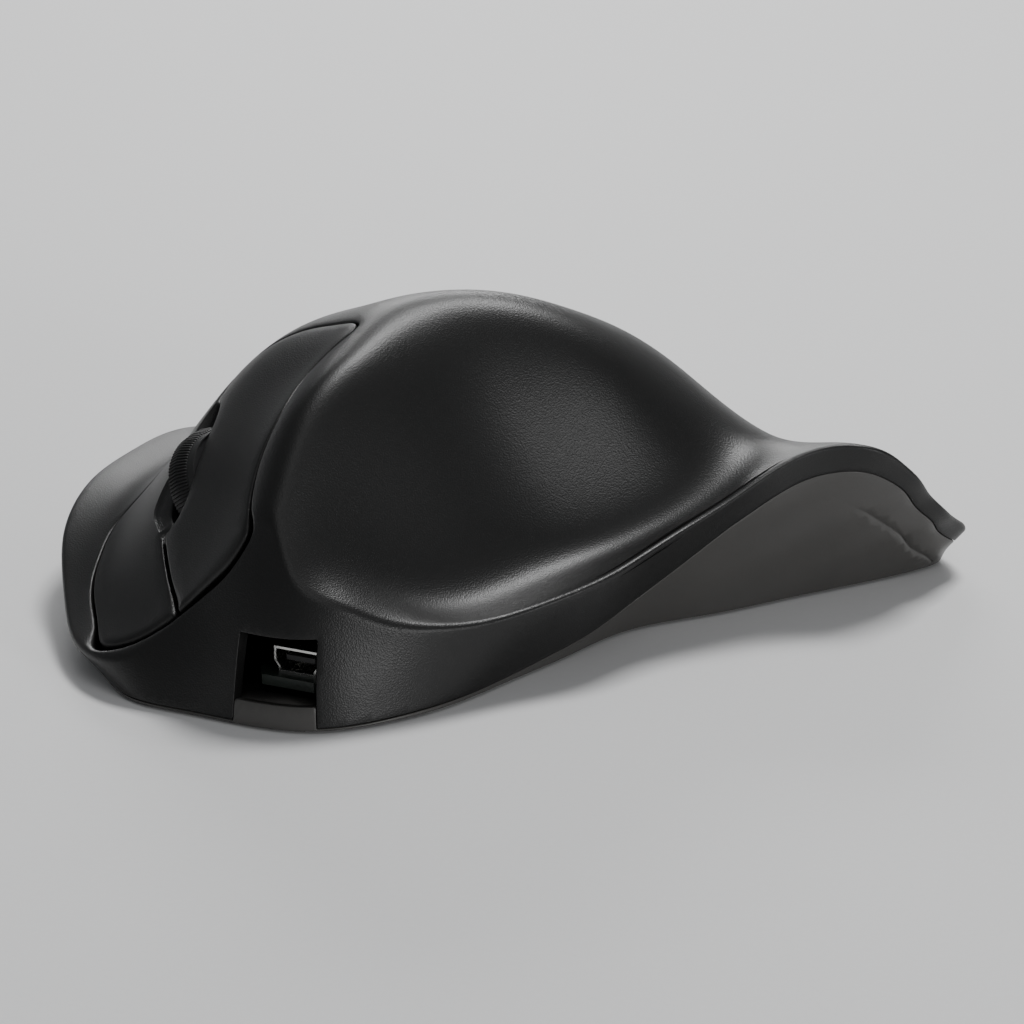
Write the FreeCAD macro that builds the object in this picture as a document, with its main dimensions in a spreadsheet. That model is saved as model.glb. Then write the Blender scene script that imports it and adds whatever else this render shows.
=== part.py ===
import FreeCAD, Part
import Sketcher
import math
import os

# Ergonomic mouse that carries the whole right hand. Millimetres, +Z up, front towards -Y,
# thumb side towards +X. The origin is under the middle of the object, on the surface it stands on.

doc = FreeCAD.newDocument("ergonomic_mouse")
sheet = doc.addObject("Spreadsheet::Sheet", "Sizes")
Vec = FreeCAD.Vector

SIZES = [
    ("wall", 2.2, "thickness of the upper and lower shells"),
    ("base_z", 0.5, "height of the case bottom over the table"),
    ("floor_thickness", 2.2, "case floor"),
    ("rim_round", 1.6, "rounding of the rim between top skin and side wall"),
    ("seam_step", 0.5, "lower shell stands back behind the upper one"),
    ("lip_height", 1.8, "locating lip of the lower shell above the parting line"),
    ("lip_thickness", 1.4, "thickness of the locating lip"),
    ("lip_gap", 0.15, "play between lip and upper shell"),
    ("button_gap", 0.6, "play round the buttons, in plan"),
    ("button_wrap", 0.4, "how far the buttons reach down over the rim, under their own thickness"),
    ("split_gap", 0.85, "play between the two buttons, in plan"),
    ("button_corner", 1.8, "corner radius of the button pair, in plan"),
    ("finger_x", -34.5, "wheel, across"),
    ("finger_y", -31.5, "wheel, along"),
    ("finger_turn", 8.0, "degrees that the wheel is turned towards the thumb"),
    ("wheel_radius", 10.0, "wheel with its tyre"),
    ("wheel_width", 5.4, "wheel tyre"),
    ("wheel_proud", 2.0, "wheel above the button skin"),
    ("tyre_depth", 1.6, "rubber tyre"),
    ("tyre_crown", 0.5, "raised middle of the tyre"),
    ("slot_length", 26.4, "wheel slot"),
    ("slot_width", 6.9, "wheel slot"),
    ("slot_shift", 0.1, "wheel slot ahead of the wheel"),
    ("axle_radius", 1.0, "wheel axle"),
    ("running_play", 0.06, "radial play of pins and axles"),
    ("cradle_arm", 1.6, "arms of the wheel cradle"),
    ("cradle_play", 1.1, "side play between wheel and cradle arm"),
    ("cradle_reach", 15.5, "wheel axle to cradle pivot"),
    ("cradle_drop", 1.5, "cradle pivot below the wheel axle"),
    ("pin_radius", 1.0, "hinge pins of the buttons and the cradle"),
    ("eye_wall", 0.9, "plastic round a hinge pin"),
    ("lug", 2.2, "lugs that hold the hinge pins"),
    ("side_play", 0.3, "side play in the hinges"),
    ("hinge_y", 20.0, "button hinge behind the wheel axle"),
    ("hinge_depth", 12.3, "button hinge below the button skin"),
    ("tail_width", 5.0, "button tails"),
    ("board_thickness", 1.6, "circuit boards"),
    ("button_board_depth", 11.9, "top of the button board below the button skin"),
    ("button_board_width", 32.0, "button board, across"),
    ("button_board_front", 15.5, "button board ahead of the wheel axle"),
    ("button_board_back", 6.2, "button board behind the wheel axle"),
    ("board_window", 12.4, "window of the button board round the wheel"),
    ("bracket_thickness", 1.6, "plate of the button bracket"),
    ("bracket_spacer", 1.0, "spacers between bracket and button board"),
    ("switch_length", 12.8, "button switch"),
    ("switch_width", 5.8, "button switch"),
    ("switch_height", 6.5, "button switch"),
    ("switch_offset", 11.5, "button switches from the wheel plane"),
    ("switch_ahead", 7.3, "button switches ahead of the wheel axle"),
    ("plunger_width", 2.9, "plunger of a button switch"),
    ("plunger_length", 1.4, "plunger of a button switch"),
    ("plunger_height", 2.6, "plunger of a button switch"),
    ("plunger_out", 0.7, "plungers above their housings"),
    ("plunger_play", 0.1, "play of the plungers in their housings"),
    ("press_gap", 0.1, "play between a button and its plunger"),
    ("tact_size", 6.0, "wheel switch, square"),
    ("tact_height", 4.3, "wheel switch"),
    ("tact_radius", 1.75, "plunger of the wheel switch"),
    ("tact_behind", 2.5, "wheel switch behind the wheel axle"),
    ("main_board_z", 4.9, "underside of the main board"),
    ("port_x", -5.9, "middle of the port notch"),
    ("port_width", 12.2, "port notch"),
    ("port_top", 13.4, "top of the port notch"),
    ("port_tab_top", 3.6, "tab of the lower shell in the notch"),
    ("port_depth", 8.0, "port notch behind the front foot line"),
    ("usb_x", -4.4, "middle of the socket"),
    ("usb_width", 7.7, "socket shell"),
    ("usb_height", 4.0, "socket shell"),
    ("usb_length", 9.2, "socket shell"),
    ("usb_sheet", 0.35, "sheet of the socket shell"),
    ("usb_mouth_y", -53.8, "mouth of the socket"),
    ("sensor_x", 1.5, "optical sensor"),
    ("sensor_y", -8.0, "optical sensor"),
    ("sensor_size", 9.0, "optical sensor, square"),
    ("sensor_height", 2.2, "optical sensor"),
    ("lens_length", 16.0, "lens plate"),
    ("lens_width", 8.0, "lens plate"),
    ("window_radius", 3.6, "hole in the floor under the lens"),
    ("battery_radius", 7.1, "rechargeable cell"),
    ("battery_length", 48.0, "rechargeable cell"),
    ("battery_x", -7.0, "rechargeable cell"),
    ("battery_y", 31.5, "rechargeable cell"),
    ("battery_play", 0.3, "play between cell and tray"),
    ("contact_thickness", 0.6, "battery contacts"),
    ("tray_wall", 1.6, "battery tray"),
    ("slider_x", 8.0, "power switch under the case"),
    ("slider_y", 7.6, "power switch under the case"),
    ("slider_travel", 2.5, "power switch"),
    ("slider_length", 4.0, "knob of the power switch"),
    ("slider_width", 3.0, "knob of the power switch"),
    ("slider_play", 0.2, "play of the knob in its slot"),
    ("foot_height", 0.8, "glide feet"),
    ("foot_radius", 6.0, "glide feet"),
    ("foot_recess", 0.3, "pockets of the glide feet"),
    ("screw_radius", 1.25, "case screws"),
    ("screw_head_radius", 2.4, "case screws"),
    ("screw_head", 1.4, "height of the case screws' heads"),
    ("screw_length", 9.0, "case screws under the head"),
    ("boss_radius", 3.4, "screw bosses of the shells"),
    ("boss_seam", 5.0, "height at which the bosses of the two shells meet"),
    ("board_screw_radius", 0.9, "board screws"),
    ("board_screw_head", 1.6, "board screws, head radius"),
    ("board_screw_length", 4.6, "board screws under the head"),
    ("post_radius", 2.6, "posts that carry the boards"),
    ("radio_size", 11.0, "radio module, square"),
    ("radio_height", 2.0, "radio module"),
]
for row, (alias, value, note) in enumerate(SIZES, 1):
    sheet.set(f"A{row}", note)
    sheet.set(f"B{row}", str(value))
    sheet.setAlias(f"B{row}", alias)
doc.recompute()


def size(alias):
    return float(sheet.get(alias))


# The top skin: guide lines that run from front to rear over the hand. Each guide gives (x, z)
# at every station, and a section at any y is the smooth curve through the guides.
STATIONS = [-65, -53, -40, -25, -10, 5, 20, 35, 50, 65]
GUIDES = {
    "flange_out": [(-77, -4), (-77, 2), (-79, 4), (-82, 8), (-83, 10), (-83, 10.8),
                   (-82, 9.8), (-80, 5.5), (-75, 0), (-75, -8)],
    "flange_middle": [(-57, 0), (-51, 3.5), (-57.5, 7), (-60.5, 12), (-61, 15), (-61, 15.3),
                      (-61, 14.3), (-58, 10), (-55, 4), (-55, -6)],
    "flange_valley": [(-43, 2), (-41, 5.8), (-47.5, 9.3), (-51.5, 14.7), (-52.5, 17.6), (-51.5, 18),
                      (-49, 16.8), (-45, 13), (-42, 7.5), (-42, -4)],
    "button_slope": [(-29, 4), (-26, 14), (-33, 22.7), (-35.8, 32), (-36.5, 37), (-34.8, 37),
                     (-33, 33), (-31, 25), (-30, 12.5), (-30, -1)],
    "near_edge": [(-15, 10), (-15, 24.6), (-16, 38), (-17, 44.5), (-18, 48.6), (-15, 46.9),
                  (-15, 42), (-15, 32), (-15, 17), (-15, 1)],
    "ridge": [(-9, 12), (-9.5, 28), (-9, 41.3), (-6.5, 47.8), (-1.5, 50.2), (11, 48.6),
              (7, 43.6), (7, 33), (7, 17.5), (7, 1)],
    "hollow_wall": [(-3, 12), (-4, 23), (-2, 29), (3, 33), (9, 37), (22, 38.1),
                    (23, 38), (23, 28.2), (23, 15), (23, 0.5)],
    "hollow_floor": [(7, 8), (3, 18), (7, 16), (14, 15), (21, 17), (32, 22),
                     (37, 26.9), (37, 21.9), (37, 12.5), (37, -1)],
    "rim": [(17, 6), (9, 14), (16, 13.2), (25.5, 14.3), (33, 17.3), (39.5, 21.5),
            (52.5, 27.9), (53, 19.7), (53, 9.5), (53, -2)],
    "rim_out": [(29, 4), (21, 8.5), (27, 12.5), (37, 14.5), (45, 19.5), (51, 25.7),
                (65, 27.5), (71, 13), (71, 7), (71, -3)],
}

# The side wall, station by station round the object: its foot (x, y) on the table and its
# crest (x, y, z) under the rim. Between them the wall is straight but for a bulge outwards.
WALL = [
    ((-20, -61.5), (-23, -53.8, 16.5), 0.8),
    ((-9, -61.7), (-12, -52.3, 27), 1.2),
    ((1, -59.8), (-4, -53.9, 23), 1.0),
    ((8.8, -52.9), (4.2, -52.0, 17), 0.5),
    ((14.9, -43.0), (13.9, -43.6, 13.5), 0),
    ((19.1, -30.2), (24.6, -29.5, 14), -0.5),
    ((23.1, -16.8), (31, -20.5, 15.8), -1.0),
    ((27.4, -3.0), (36.7, -5.5, 18.8), -1.5),
    ((36.8, 9.1), (43.2, 7, 23), -2.0),
    ((44.8, 20.3), (50.4, 17.6, 27.5), -2.0),
    ((53.8, 32.6), (59.6, 23.6, 26.5), -1.5),
    ((59.2, 41), (64.4, 33, 18), -0.3),
    ((61.3, 46.8), (66, 44, 11), 0.3),
    ((53, 53), (57, 56, 7.5), 0.3),
    ((35, 57), (37, 60.5, 6), 0.5),
    ((5, 58), (5, 61.5, 6), 0.5),
    ((-20, 55), (-23, 59, 6), 0.5),
    ((-40, 46), (-46, 49, 7), 0.5),
    ((-52, 29), (-59.4, 32, 10), 0.5),
    ((-57, 11), (-66.4, 13, 13.8), 0.5),
    ((-56, -9), (-65, -8, 13), 0.5),
    ((-51.5, -27.5), (-59.4, -26, 10), 0.5),
    ((-45.6, -42.4), (-52.2, -41.2, 7), 0.5),
    ((-36.8, -54.6), (-43.4, -53.9, 5), 0.8),
    ((-28.4, -60.8), (-33.5, -58.8, 6), 0.8),
]

# Height of the parting line along the thumb side and along the other sides.
PARTING_THUMB = [(-62, 1.0), (-35, 1.5), (-19, 5), (-12.4, 8), (-4.4, 11), (2.6, 14), (7.3, 18), (14.2, 22),
                 (19.5, 23), (23.5, 22), (28.3, 18), (34.1, 10), (39.9, 6), (45, 4.6), (62, 4)]
PARTING_FAR = [(-62, 1.0), (-45, 1.2), (-25, 3), (-10, 4.5), (20, 5), (40, 4.5), (62, 4)]
PARTING_BLEND_X = (0, 17)
PARTING_ENDS = (-62, 62)

# The pair of buttons in plan: its four sides, front corner near the thumb first.
BUTTON_NEAR = [(-13.7, -52.7), (-15.4, -46.5), (-15.7, -43), (-16, -36.4), (-15.8, -28),
               (-14.3, -21.5), (-12.2, -18)]
BUTTON_REAR = [(-12.2, -18), (-20, -13.4), (-29, -11.5), (-40, -14), (-51, -25.8)]
BUTTON_FAR = [(-51, -25.8), (-49.8, -33.5), (-47.7, -38.2), (-43.8, -46.8), (-36.9, -55.2)]
BUTTON_FRONT = [(-36.9, -55.2), (-31, -55.3), (-25.8, -54.3), (-19.5, -53.3), (-13.7, -52.7)]
SPLIT_LINE = [(-23.2, -57.5), (-25.3, -53.6), (-28.6, -49.1), (-31.6, -45), (-33, -42.3), (-33.6, -39.5),
              (-34.5, -35), (-36, -20), (-36.6, -8)]

# The opening over the wheel, from its front tip to its rear one, as shares of half its length
# and half its width: its side towards the thumb and its far side.
SLOT_NEAR = [(-1, -0.15), (-0.85, 0.5), (-0.6, 0.93), (-0.3, 1), (0, 1), (0.3, 1), (0.62, 0.88),
             (0.88, 0.35), (1, -0.35)]
SLOT_FAR = [(-1, -0.15), (-0.85, -0.75), (-0.6, -0.98), (-0.3, -1), (0, -1), (0.3, -1), (0.62, -0.98),
            (0.88, -0.8), (1, -0.35)]

SKIN_ROWS = 40
SKIN_STEPS = 4
WALL_LEVELS = [7, 15, 27, 60]
TALL = 90
FRONT_LINE = -61.5
AHEAD = -70


def spline(knots, values):
    """A natural cubic curve through the given points, as a function."""
    count = len(knots)
    gaps = [knots[i + 1] - knots[i] for i in range(count - 1)]
    bends = [0.0] * count
    factor = [0.0] * count
    rest = [0.0] * count
    for i in range(1, count - 1):
        jump = (values[i + 1] - values[i]) / gaps[i] - (values[i] - values[i - 1]) / gaps[i - 1]
        pivot = 2 * (gaps[i - 1] + gaps[i]) - gaps[i - 1] * factor[i - 1]
        factor[i] = gaps[i] / pivot
        rest[i] = (6 * jump - gaps[i - 1] * rest[i - 1]) / pivot
    for i in range(count - 2, 0, -1):
        bends[i] = rest[i] - factor[i] * bends[i + 1]

    def at(position):
        i = 0
        while i < count - 2 and position > knots[i + 1]:
            i += 1
        gap = gaps[i]
        before = (knots[i + 1] - position) / gap
        after = (position - knots[i]) / gap
        bend = (before**3 - before) * bends[i] + (after**3 - after) * bends[i + 1]
        return before * values[i] + after * values[i + 1] + bend * gap * gap / 6

    return at


GUIDE_X = [spline(STATIONS, [point[0] for point in guide]) for guide in GUIDES.values()]
GUIDE_Z = [spline(STATIONS, [point[1] for point in guide]) for guide in GUIDES.values()]


def skin_section(y):
    """The guides' places across the object at one y, and the height curve through them."""
    places = [guide(y) for guide in GUIDE_X]
    return places, spline(places, [guide(y) for guide in GUIDE_Z])


def skin_height(x, y):
    return skin_section(y)[1](x)


def skin_normal(x, y, step=0.5):
    """The outward direction of the top skin."""
    slope_x = (skin_height(x + step, y) - skin_height(x - step, y)) / (2 * step)
    slope_y = (skin_height(x, y + step) - skin_height(x, y - step)) / (2 * step)
    normal = Vec(-slope_x, -slope_y, 1)
    return normal.normalize()


def below_surface(rows):
    """A tall solid whose top is the smooth surface through the rows of points."""
    surface = Part.BSplineSurface()
    surface.interpolate(rows)
    return surface.toShape().extrude(Vec(0, 0, -TALL))


def below_skin(depth):
    """The space under the top skin, lowered by a depth measured square to it."""
    rows = []
    first, last = STATIONS[0] + 1, STATIONS[-1] - 0.5
    for row in range(SKIN_ROWS + 1):
        y = first + (last - first) * row / SKIN_ROWS
        places, height = skin_section(y)
        line = []
        for guide in range(len(places) - 1):
            for step in range(SKIN_STEPS):
                x = places[guide] + (places[guide + 1] - places[guide]) * step / SKIN_STEPS
                line.append((x, height(x)))
        line.append((places[-1], height(places[-1])))
        points = []
        for x, z in line:
            drop = depth / skin_normal(x, y).z if depth else 0
            points.append(Vec(x, y, z - drop))
        rows.append(points)
    return below_surface(rows)


def wall_place(station, z):
    """Where the side wall stands at a height, at one of its stations."""
    foot, crest, bulge = station
    part = (z - size("base_z")) / (crest[2] - size("base_z"))
    swell = bulge * max(0.0, 4 * part * (1 - part)) if part < 1 else 0
    run = Vec(crest[0] - foot[0], crest[1] - foot[1], 0)
    out = Vec(foot[0], foot[1], 0).normalize()
    return Vec(foot[0], foot[1], z) + run * part + out * swell


def inset_ring(points, inset):
    """A closed row of points moved inwards in plan."""
    moved = []
    for i, point in enumerate(points):
        along = points[(i + 1) % len(points)] - points[i - 1]
        inward = Vec(-along.y, along.x, 0).normalize()
        moved.append(point + inward * inset)
    return moved


def inside_wall(inset, floor=None):
    """The space inside the side wall, moved inwards, from a floor height up."""
    wires = []
    start = size("base_z") if floor is None else floor
    for z in [start] + WALL_LEVELS:
        ring = inset_ring([wall_place(station, z) for station in WALL], inset)
        curve = Part.BSplineCurve()
        curve.interpolate(ring, PeriodicFlag=True)
        wires.append(Part.Wire(curve.toShape()))
    return Part.makeLoft(wires, True, False)


def parting_height(x, y):
    start, end = PARTING_BLEND_X
    part = min(1.0, max(0.0, (x - start) / (end - start)))
    part = part * part * (3 - 2 * part)
    return PARTING_FAR_AT(y) * (1 - part) + PARTING_THUMB_AT(y) * part


PARTING_THUMB_AT = spline([p[0] for p in PARTING_THUMB], [p[1] for p in PARTING_THUMB])
PARTING_FAR_AT = spline([p[0] for p in PARTING_FAR], [p[1] for p in PARTING_FAR])


def below_parting(lift=0.0):
    front, rear = PARTING_ENDS
    rows = []
    for y in range(front - 2, rear + 1, 3):
        level = min(rear, max(front, y))
        rows.append([Vec(x, y, parting_height(x, level) + lift) for x in range(-80, 81, 4)])
    return below_surface(rows)


def curve_edge(points):
    curve = Part.BSplineCurve()
    curve.interpolate([Vec(x, y, 0) for x, y in points])
    return curve.toShape()


def button_region(grow):
    """The tall block that the button pair is cut with, widened by a gap."""
    sides = [BUTTON_NEAR, BUTTON_REAR, BUTTON_FAR, BUTTON_FRONT]
    corners = [Vec(x, y, 0) for side in sides for x, y in side[:-1]]
    moved = [(point.x, point.y) for point in inset_ring(corners, -grow)]
    edges = []
    start = 0
    for side in sides:
        end = start + len(side) - 1
        edges.append(curve_edge([moved[i % len(moved)] for i in range(start, end + 1)]))
        start = end
    block_shape = Part.Face(Part.Wire(edges)).extrude(Vec(0, 0, TALL))
    upright = [edge for edge in block_shape.Edges if abs(edge.tangentAt(edge.FirstParameter).z) > 0.99]
    return block_shape.makeFillet(size("button_corner") + grow, upright)


def from_sheet(*aliases):
    return [size(alias) for alias in aliases]


# The frame of the fingers: its origin is on the button skin over the wheel, X runs across
# towards the thumb, Y runs back along the skin and Z stands square to the skin.
finger_x, finger_y, finger_turn = from_sheet("finger_x", "finger_y", "finger_turn")
finger_up = skin_normal(finger_x, finger_y)
turn = math.radians(finger_turn)
plan_back = Vec(-math.sin(turn), math.cos(turn), 0)
plan_back.z = -(finger_up.x * plan_back.x + finger_up.y * plan_back.y) / finger_up.z
finger_back = plan_back.normalize()
finger_across = finger_back.cross(finger_up)
finger_origin = Vec(finger_x, finger_y, skin_height(finger_x, finger_y))
FINGER = FreeCAD.Placement(FreeCAD.Matrix(
    finger_across.x, finger_back.x, finger_up.x, finger_origin.x,
    finger_across.y, finger_back.y, finger_up.y, finger_origin.y,
    finger_across.z, finger_back.z, finger_up.z, finger_origin.z,
    0, 0, 0, 1))
ACROSS = FreeCAD.Rotation(Vec(0, 0, 1), Vec(1, 0, 0))

nodes = []


def keep(node, made):
    """Names a finished sub-part."""
    made.Label = node
    nodes.append(made)
    return made


def shaped(node, shape):
    made = doc.addObject("Part::Feature", node)
    made.Shape = shape
    return keep(node, made)


def bound(kind, node, place, **sizes):
    """A primitive whose sizes are bound to the sheet."""
    made = doc.addObject(kind, node)
    for name, formula in sizes.items():
        made.setExpression(name, formula)
    made.Placement = place
    return made


def block(x0, x1, y0, y1, z0, z1, place=None):
    shape = Part.makeBox(x1 - x0, y1 - y0, z1 - z0, Vec(x0, y0, z0))
    if place:
        shape.Placement = place
    return shape


def rod(radius, start, end, place=None):
    shape = Part.makeCylinder(radius, (end - start).Length, start, end - start)
    if place:
        shape.Placement = place
    return shape


def at(x, y, z, rotation=None):
    return FreeCAD.Placement(Vec(x, y, z), rotation or FreeCAD.Rotation())

wall, base_z, floor_thickness, rim_round = from_sheet("wall", "base_z", "floor_thickness", "rim_round")
floor_top = base_z + floor_thickness
seam_step, lip_height, lip_thickness, lip_gap = from_sheet(
    "seam_step", "lip_height", "lip_thickness", "lip_gap")
button_gap, button_wrap, split_gap = from_sheet("button_gap", "button_wrap", "split_gap")
boss_radius, boss_seam, screw_radius, screw_length = from_sheet(
    "boss_radius", "boss_seam", "screw_radius", "screw_length")
screw_head_radius, screw_head, post_radius = from_sheet("screw_head_radius", "screw_head", "post_radius")
port_x, port_width, port_top, port_depth = from_sheet("port_x", "port_width", "port_top", "port_depth")
port_tab_top, board_thickness, main_board_z = from_sheet("port_tab_top", "board_thickness", "main_board_z")
wheel_radius, wheel_width, wheel_proud = from_sheet("wheel_radius", "wheel_width", "wheel_proud")
axle_radius, running_play, pin_radius = from_sheet("axle_radius", "running_play", "pin_radius")
hinge_y, hinge_depth, tail_width = from_sheet("hinge_y", "hinge_depth", "tail_width")
cradle_arm, cradle_play, cradle_reach, cradle_drop = from_sheet(
    "cradle_arm", "cradle_play", "cradle_reach", "cradle_drop")
lug, side_play, eye_wall = from_sheet("lug", "side_play", "eye_wall")

CASE_SCREWS = [(-46, 6), (26, 12), (-30, 46), (38, 44), (7.5, -36)]
BOARD_SCREWS = [(-8, -40), (10, -20), (-8, 17), (11, 17.5)]
FEET = [(-38, -22), (-38, 34), (44, 34), (-2, -48)]
BRACKET_SCREWS = [(-11, 3.5), (14.3, 3.8), (0, -13.5)]
BRACKET_LEGS = [(12, 17), (-12, 17), (12, -8.5), (-10, -8)]
axle_z = wheel_proud - wheel_radius
board_screw_radius, board_screw_head, board_screw_length = from_sheet(
    "board_screw_radius", "board_screw_head", "board_screw_length")
leg_screw_seat = base_z + 1.2
leg_screw_top = leg_screw_seat + board_screw_length
board_top = -size("button_board_depth")
screw_seat = base_z + screw_head + 0.4


def hollow_form():
    """The whole outer form, hollowed to the wall, with its rim rounded."""
    form = inside_wall(0).common(below_skin(0))
    rim = max(form.Edges, key=lambda edge: edge.Length if edge.BoundBox.ZMax > floor_top else 0)
    form = form.cut(inside_wall(wall).common(below_skin(wall)))
    edges = [edge for edge in form.Edges if abs(edge.Length - rim.Length) < 0.001]
    edges = [edge for edge in edges if (edge.CenterOfMass - rim.CenterOfMass).Length < 0.001]
    return form.makeFillet(rim_round, edges)


full_shell = hollow_form()
lower_side = below_parting()
port_notch = block(port_x - port_width / 2, port_x + port_width / 2,
                   AHEAD, FRONT_LINE + port_depth, -1, port_top)


def button_space(grow):
    """Where the button pair lies: over the rim, but not down the side wall."""
    return button_region(grow).cut(below_skin(wall + button_wrap + grow))


def top_shell():
    """The upper shell, from the parting line over the hand, with its screw bosses."""
    shell = full_shell.cut([lower_side, button_space(button_gap), port_notch])
    under = below_skin(wall / 2).common(inside_wall(wall / 2))
    bosses = []
    bores = []
    for x, y in CASE_SCREWS:
        bosses.append(rod(boss_radius, Vec(x, y, boss_seam), Vec(x, y, TALL)).common(under))
        bores.append(rod(screw_radius + 0.02, Vec(x, y, 0), Vec(x, y, screw_seat + screw_length + 0.5)))
    return shell.fuse(bosses).cut(bores)


def slider_slot(top):
    """The space that the power switch's knob travels in."""
    x, y, travel, long, wide, play = from_sheet(
        "slider_x", "slider_y", "slider_travel", "slider_length", "slider_width", "slider_play")
    half = wide / 2 + play
    return block(x - half, x + half, y - long / 2 - play, y + long / 2 + travel + play, 0, top)


def bottom_shell():
    """The lower shell: floor, inset side wall, locating lip, bosses and the tab in the port."""
    low = inside_wall(seam_step).common(lower_side)
    lip = inside_wall(wall + lip_gap).common(below_parting(lip_height)).common(below_skin(wall + lip_gap))
    hollow = inside_wall(wall + lip_gap + lip_thickness, floor_top)
    half = port_width / 2
    over_tab = block(port_x - half, port_x + half, AHEAD, FRONT_LINE + port_depth, port_tab_top, TALL)
    tab = block(port_x - half + lip_gap, port_x + half - lip_gap, AHEAD, FRONT_LINE + 6.5, base_z, port_tab_top)
    added = [tab.common(inside_wall(lip_gap))]
    taken = [slider_slot(TALL)]
    for x, y in CASE_SCREWS:
        added.append(rod(boss_radius, Vec(x, y, base_z), Vec(x, y, boss_seam)))
        taken.append(rod(screw_head_radius + 0.3, Vec(x, y, 0), Vec(x, y, screw_seat)))
        taken.append(rod(screw_radius + 0.2, Vec(x, y, 0), Vec(x, y, boss_seam + 1)))
    for x, y in BOARD_SCREWS:
        added.append(rod(post_radius, Vec(x, y, floor_top - 1), Vec(x, y, main_board_z)))
        taken.append(rod(board_screw_radius + 0.02, Vec(x, y, base_z + 0.7), Vec(x, y, TALL)))
    for x, y in leg_places():
        taken.append(rod(board_screw_head + 0.3, Vec(x, y, 0), Vec(x, y, leg_screw_seat)))
        taken.append(rod(board_screw_radius + 0.15, Vec(x, y, 0), Vec(x, y, TALL)))
    foot_radius, foot_recess = from_sheet("foot_radius", "foot_recess")
    for x, y in FEET:
        taken.append(rod(foot_radius + 0.1, Vec(x, y, 0), Vec(x, y, base_z + foot_recess)))
    sensor_x, sensor_y, window_radius = from_sheet("sensor_x", "sensor_y", "window_radius")
    taken.append(rod(window_radius, Vec(sensor_x, sensor_y, 0), Vec(sensor_x, sensor_y, floor_top + 1)))
    return low.fuse(lip).cut([hollow, over_tab]).fuse(added).cut(taken)


def local(x, y, z):
    """A point of the finger frame in the frame of the whole object."""
    return FINGER.multVec(Vec(x, y, z))


def button_solids():
    """The button pair's skin, split in two and opened for the wheel."""
    skin = full_shell.common(button_space(0))
    left = [(x - split_gap / 2, y) for x, y in SPLIT_LINE]
    right = [(x + split_gap / 2, y) for x, y in SPLIT_LINE]
    ends = [Part.makeLine(Vec(*left[i], 0), Vec(*right[i], 0)) for i in (0, -1)]
    band = Part.Face(Part.Wire(Part.__sortEdges__([curve_edge(left), curve_edge(right)] + ends)))
    halves = skin.cut([band.extrude(Vec(0, 0, TALL)), wheel_slot()]).Solids
    halves.sort(key=lambda solid: solid.Volume)
    return sorted(halves[-2:], key=lambda solid: solid.CenterOfMass.x)


def wheel_slot():
    """The leaf-shaped opening over the wheel."""
    slot_depth = 8
    long, wide, shift = from_sheet("slot_length", "slot_width", "slot_shift")
    sides = []
    for side in (SLOT_NEAR, SLOT_FAR):
        sides.append(curve_edge([(u * wide / 2, v * long / 2 - shift) for v, u in side]))
    leaf = Part.Face(Part.Wire(sides)).extrude(Vec(0, 0, 2 * slot_depth))
    leaf.Placement = FINGER.multiply(at(0, 0, -slot_depth))
    return leaf


switch_height, plunger_out, press_gap = from_sheet("switch_height", "plunger_out", "press_gap")
switch_offset, switch_ahead = from_sheet("switch_offset", "switch_ahead")
plunger_top = board_top + switch_height + plunger_out
cradle_inner = wheel_width / 2 + cradle_play
cradle_outer = cradle_inner + cradle_arm
lug_inner = cradle_outer + side_play
lug_outer = lug_inner + lug
tail_inner = lug_outer + side_play
tail_outer = tail_inner + tail_width
outer_lug = tail_outer + side_play
eye_radius = pin_radius + eye_wall
cradle_z = axle_z - cradle_drop
arm_front = 6.5
pad_half = 1.5
lug_half = 2.2
pin_fit = 0.02


def mirrored(side, start, end):
    """A span across the wheel plane, on the thumb side (1) or the far side (-1)."""
    return (start, end) if side > 0 else (-end, -start)


def button(solid, side):
    """A button skin with the tail that it hinges on and the pad that presses its switch."""
    u0, u1 = mirrored(side, tail_inner, tail_outer)
    under = below_skin(wall / 2)
    hinge = Vec(0, hinge_y, -hinge_depth)
    arm = block(u0, u1, arm_front, hinge_y, -hinge_depth - eye_radius, -hinge_depth + eye_radius, FINGER)
    eye = rod(eye_radius, hinge + Vec(u0, 0, 0), hinge + Vec(u1, 0, 0), FINGER)
    web = block(u0, u1, arm_front, arm_front + 4, -hinge_depth, -1, FINGER).common(under)
    pad_u = side * switch_offset
    pad = block(pad_u - pad_half, pad_u + pad_half, -switch_ahead - pad_half, -switch_ahead + pad_half,
                plunger_top + press_gap, -1, FINGER)
    bore = rod(pin_radius + running_play, hinge + Vec(-30, 0, 0), hinge + Vec(30, 0, 0), FINGER)
    return solid.fuse([arm, eye, web, pad.common(under)]).cut(bore)


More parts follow.
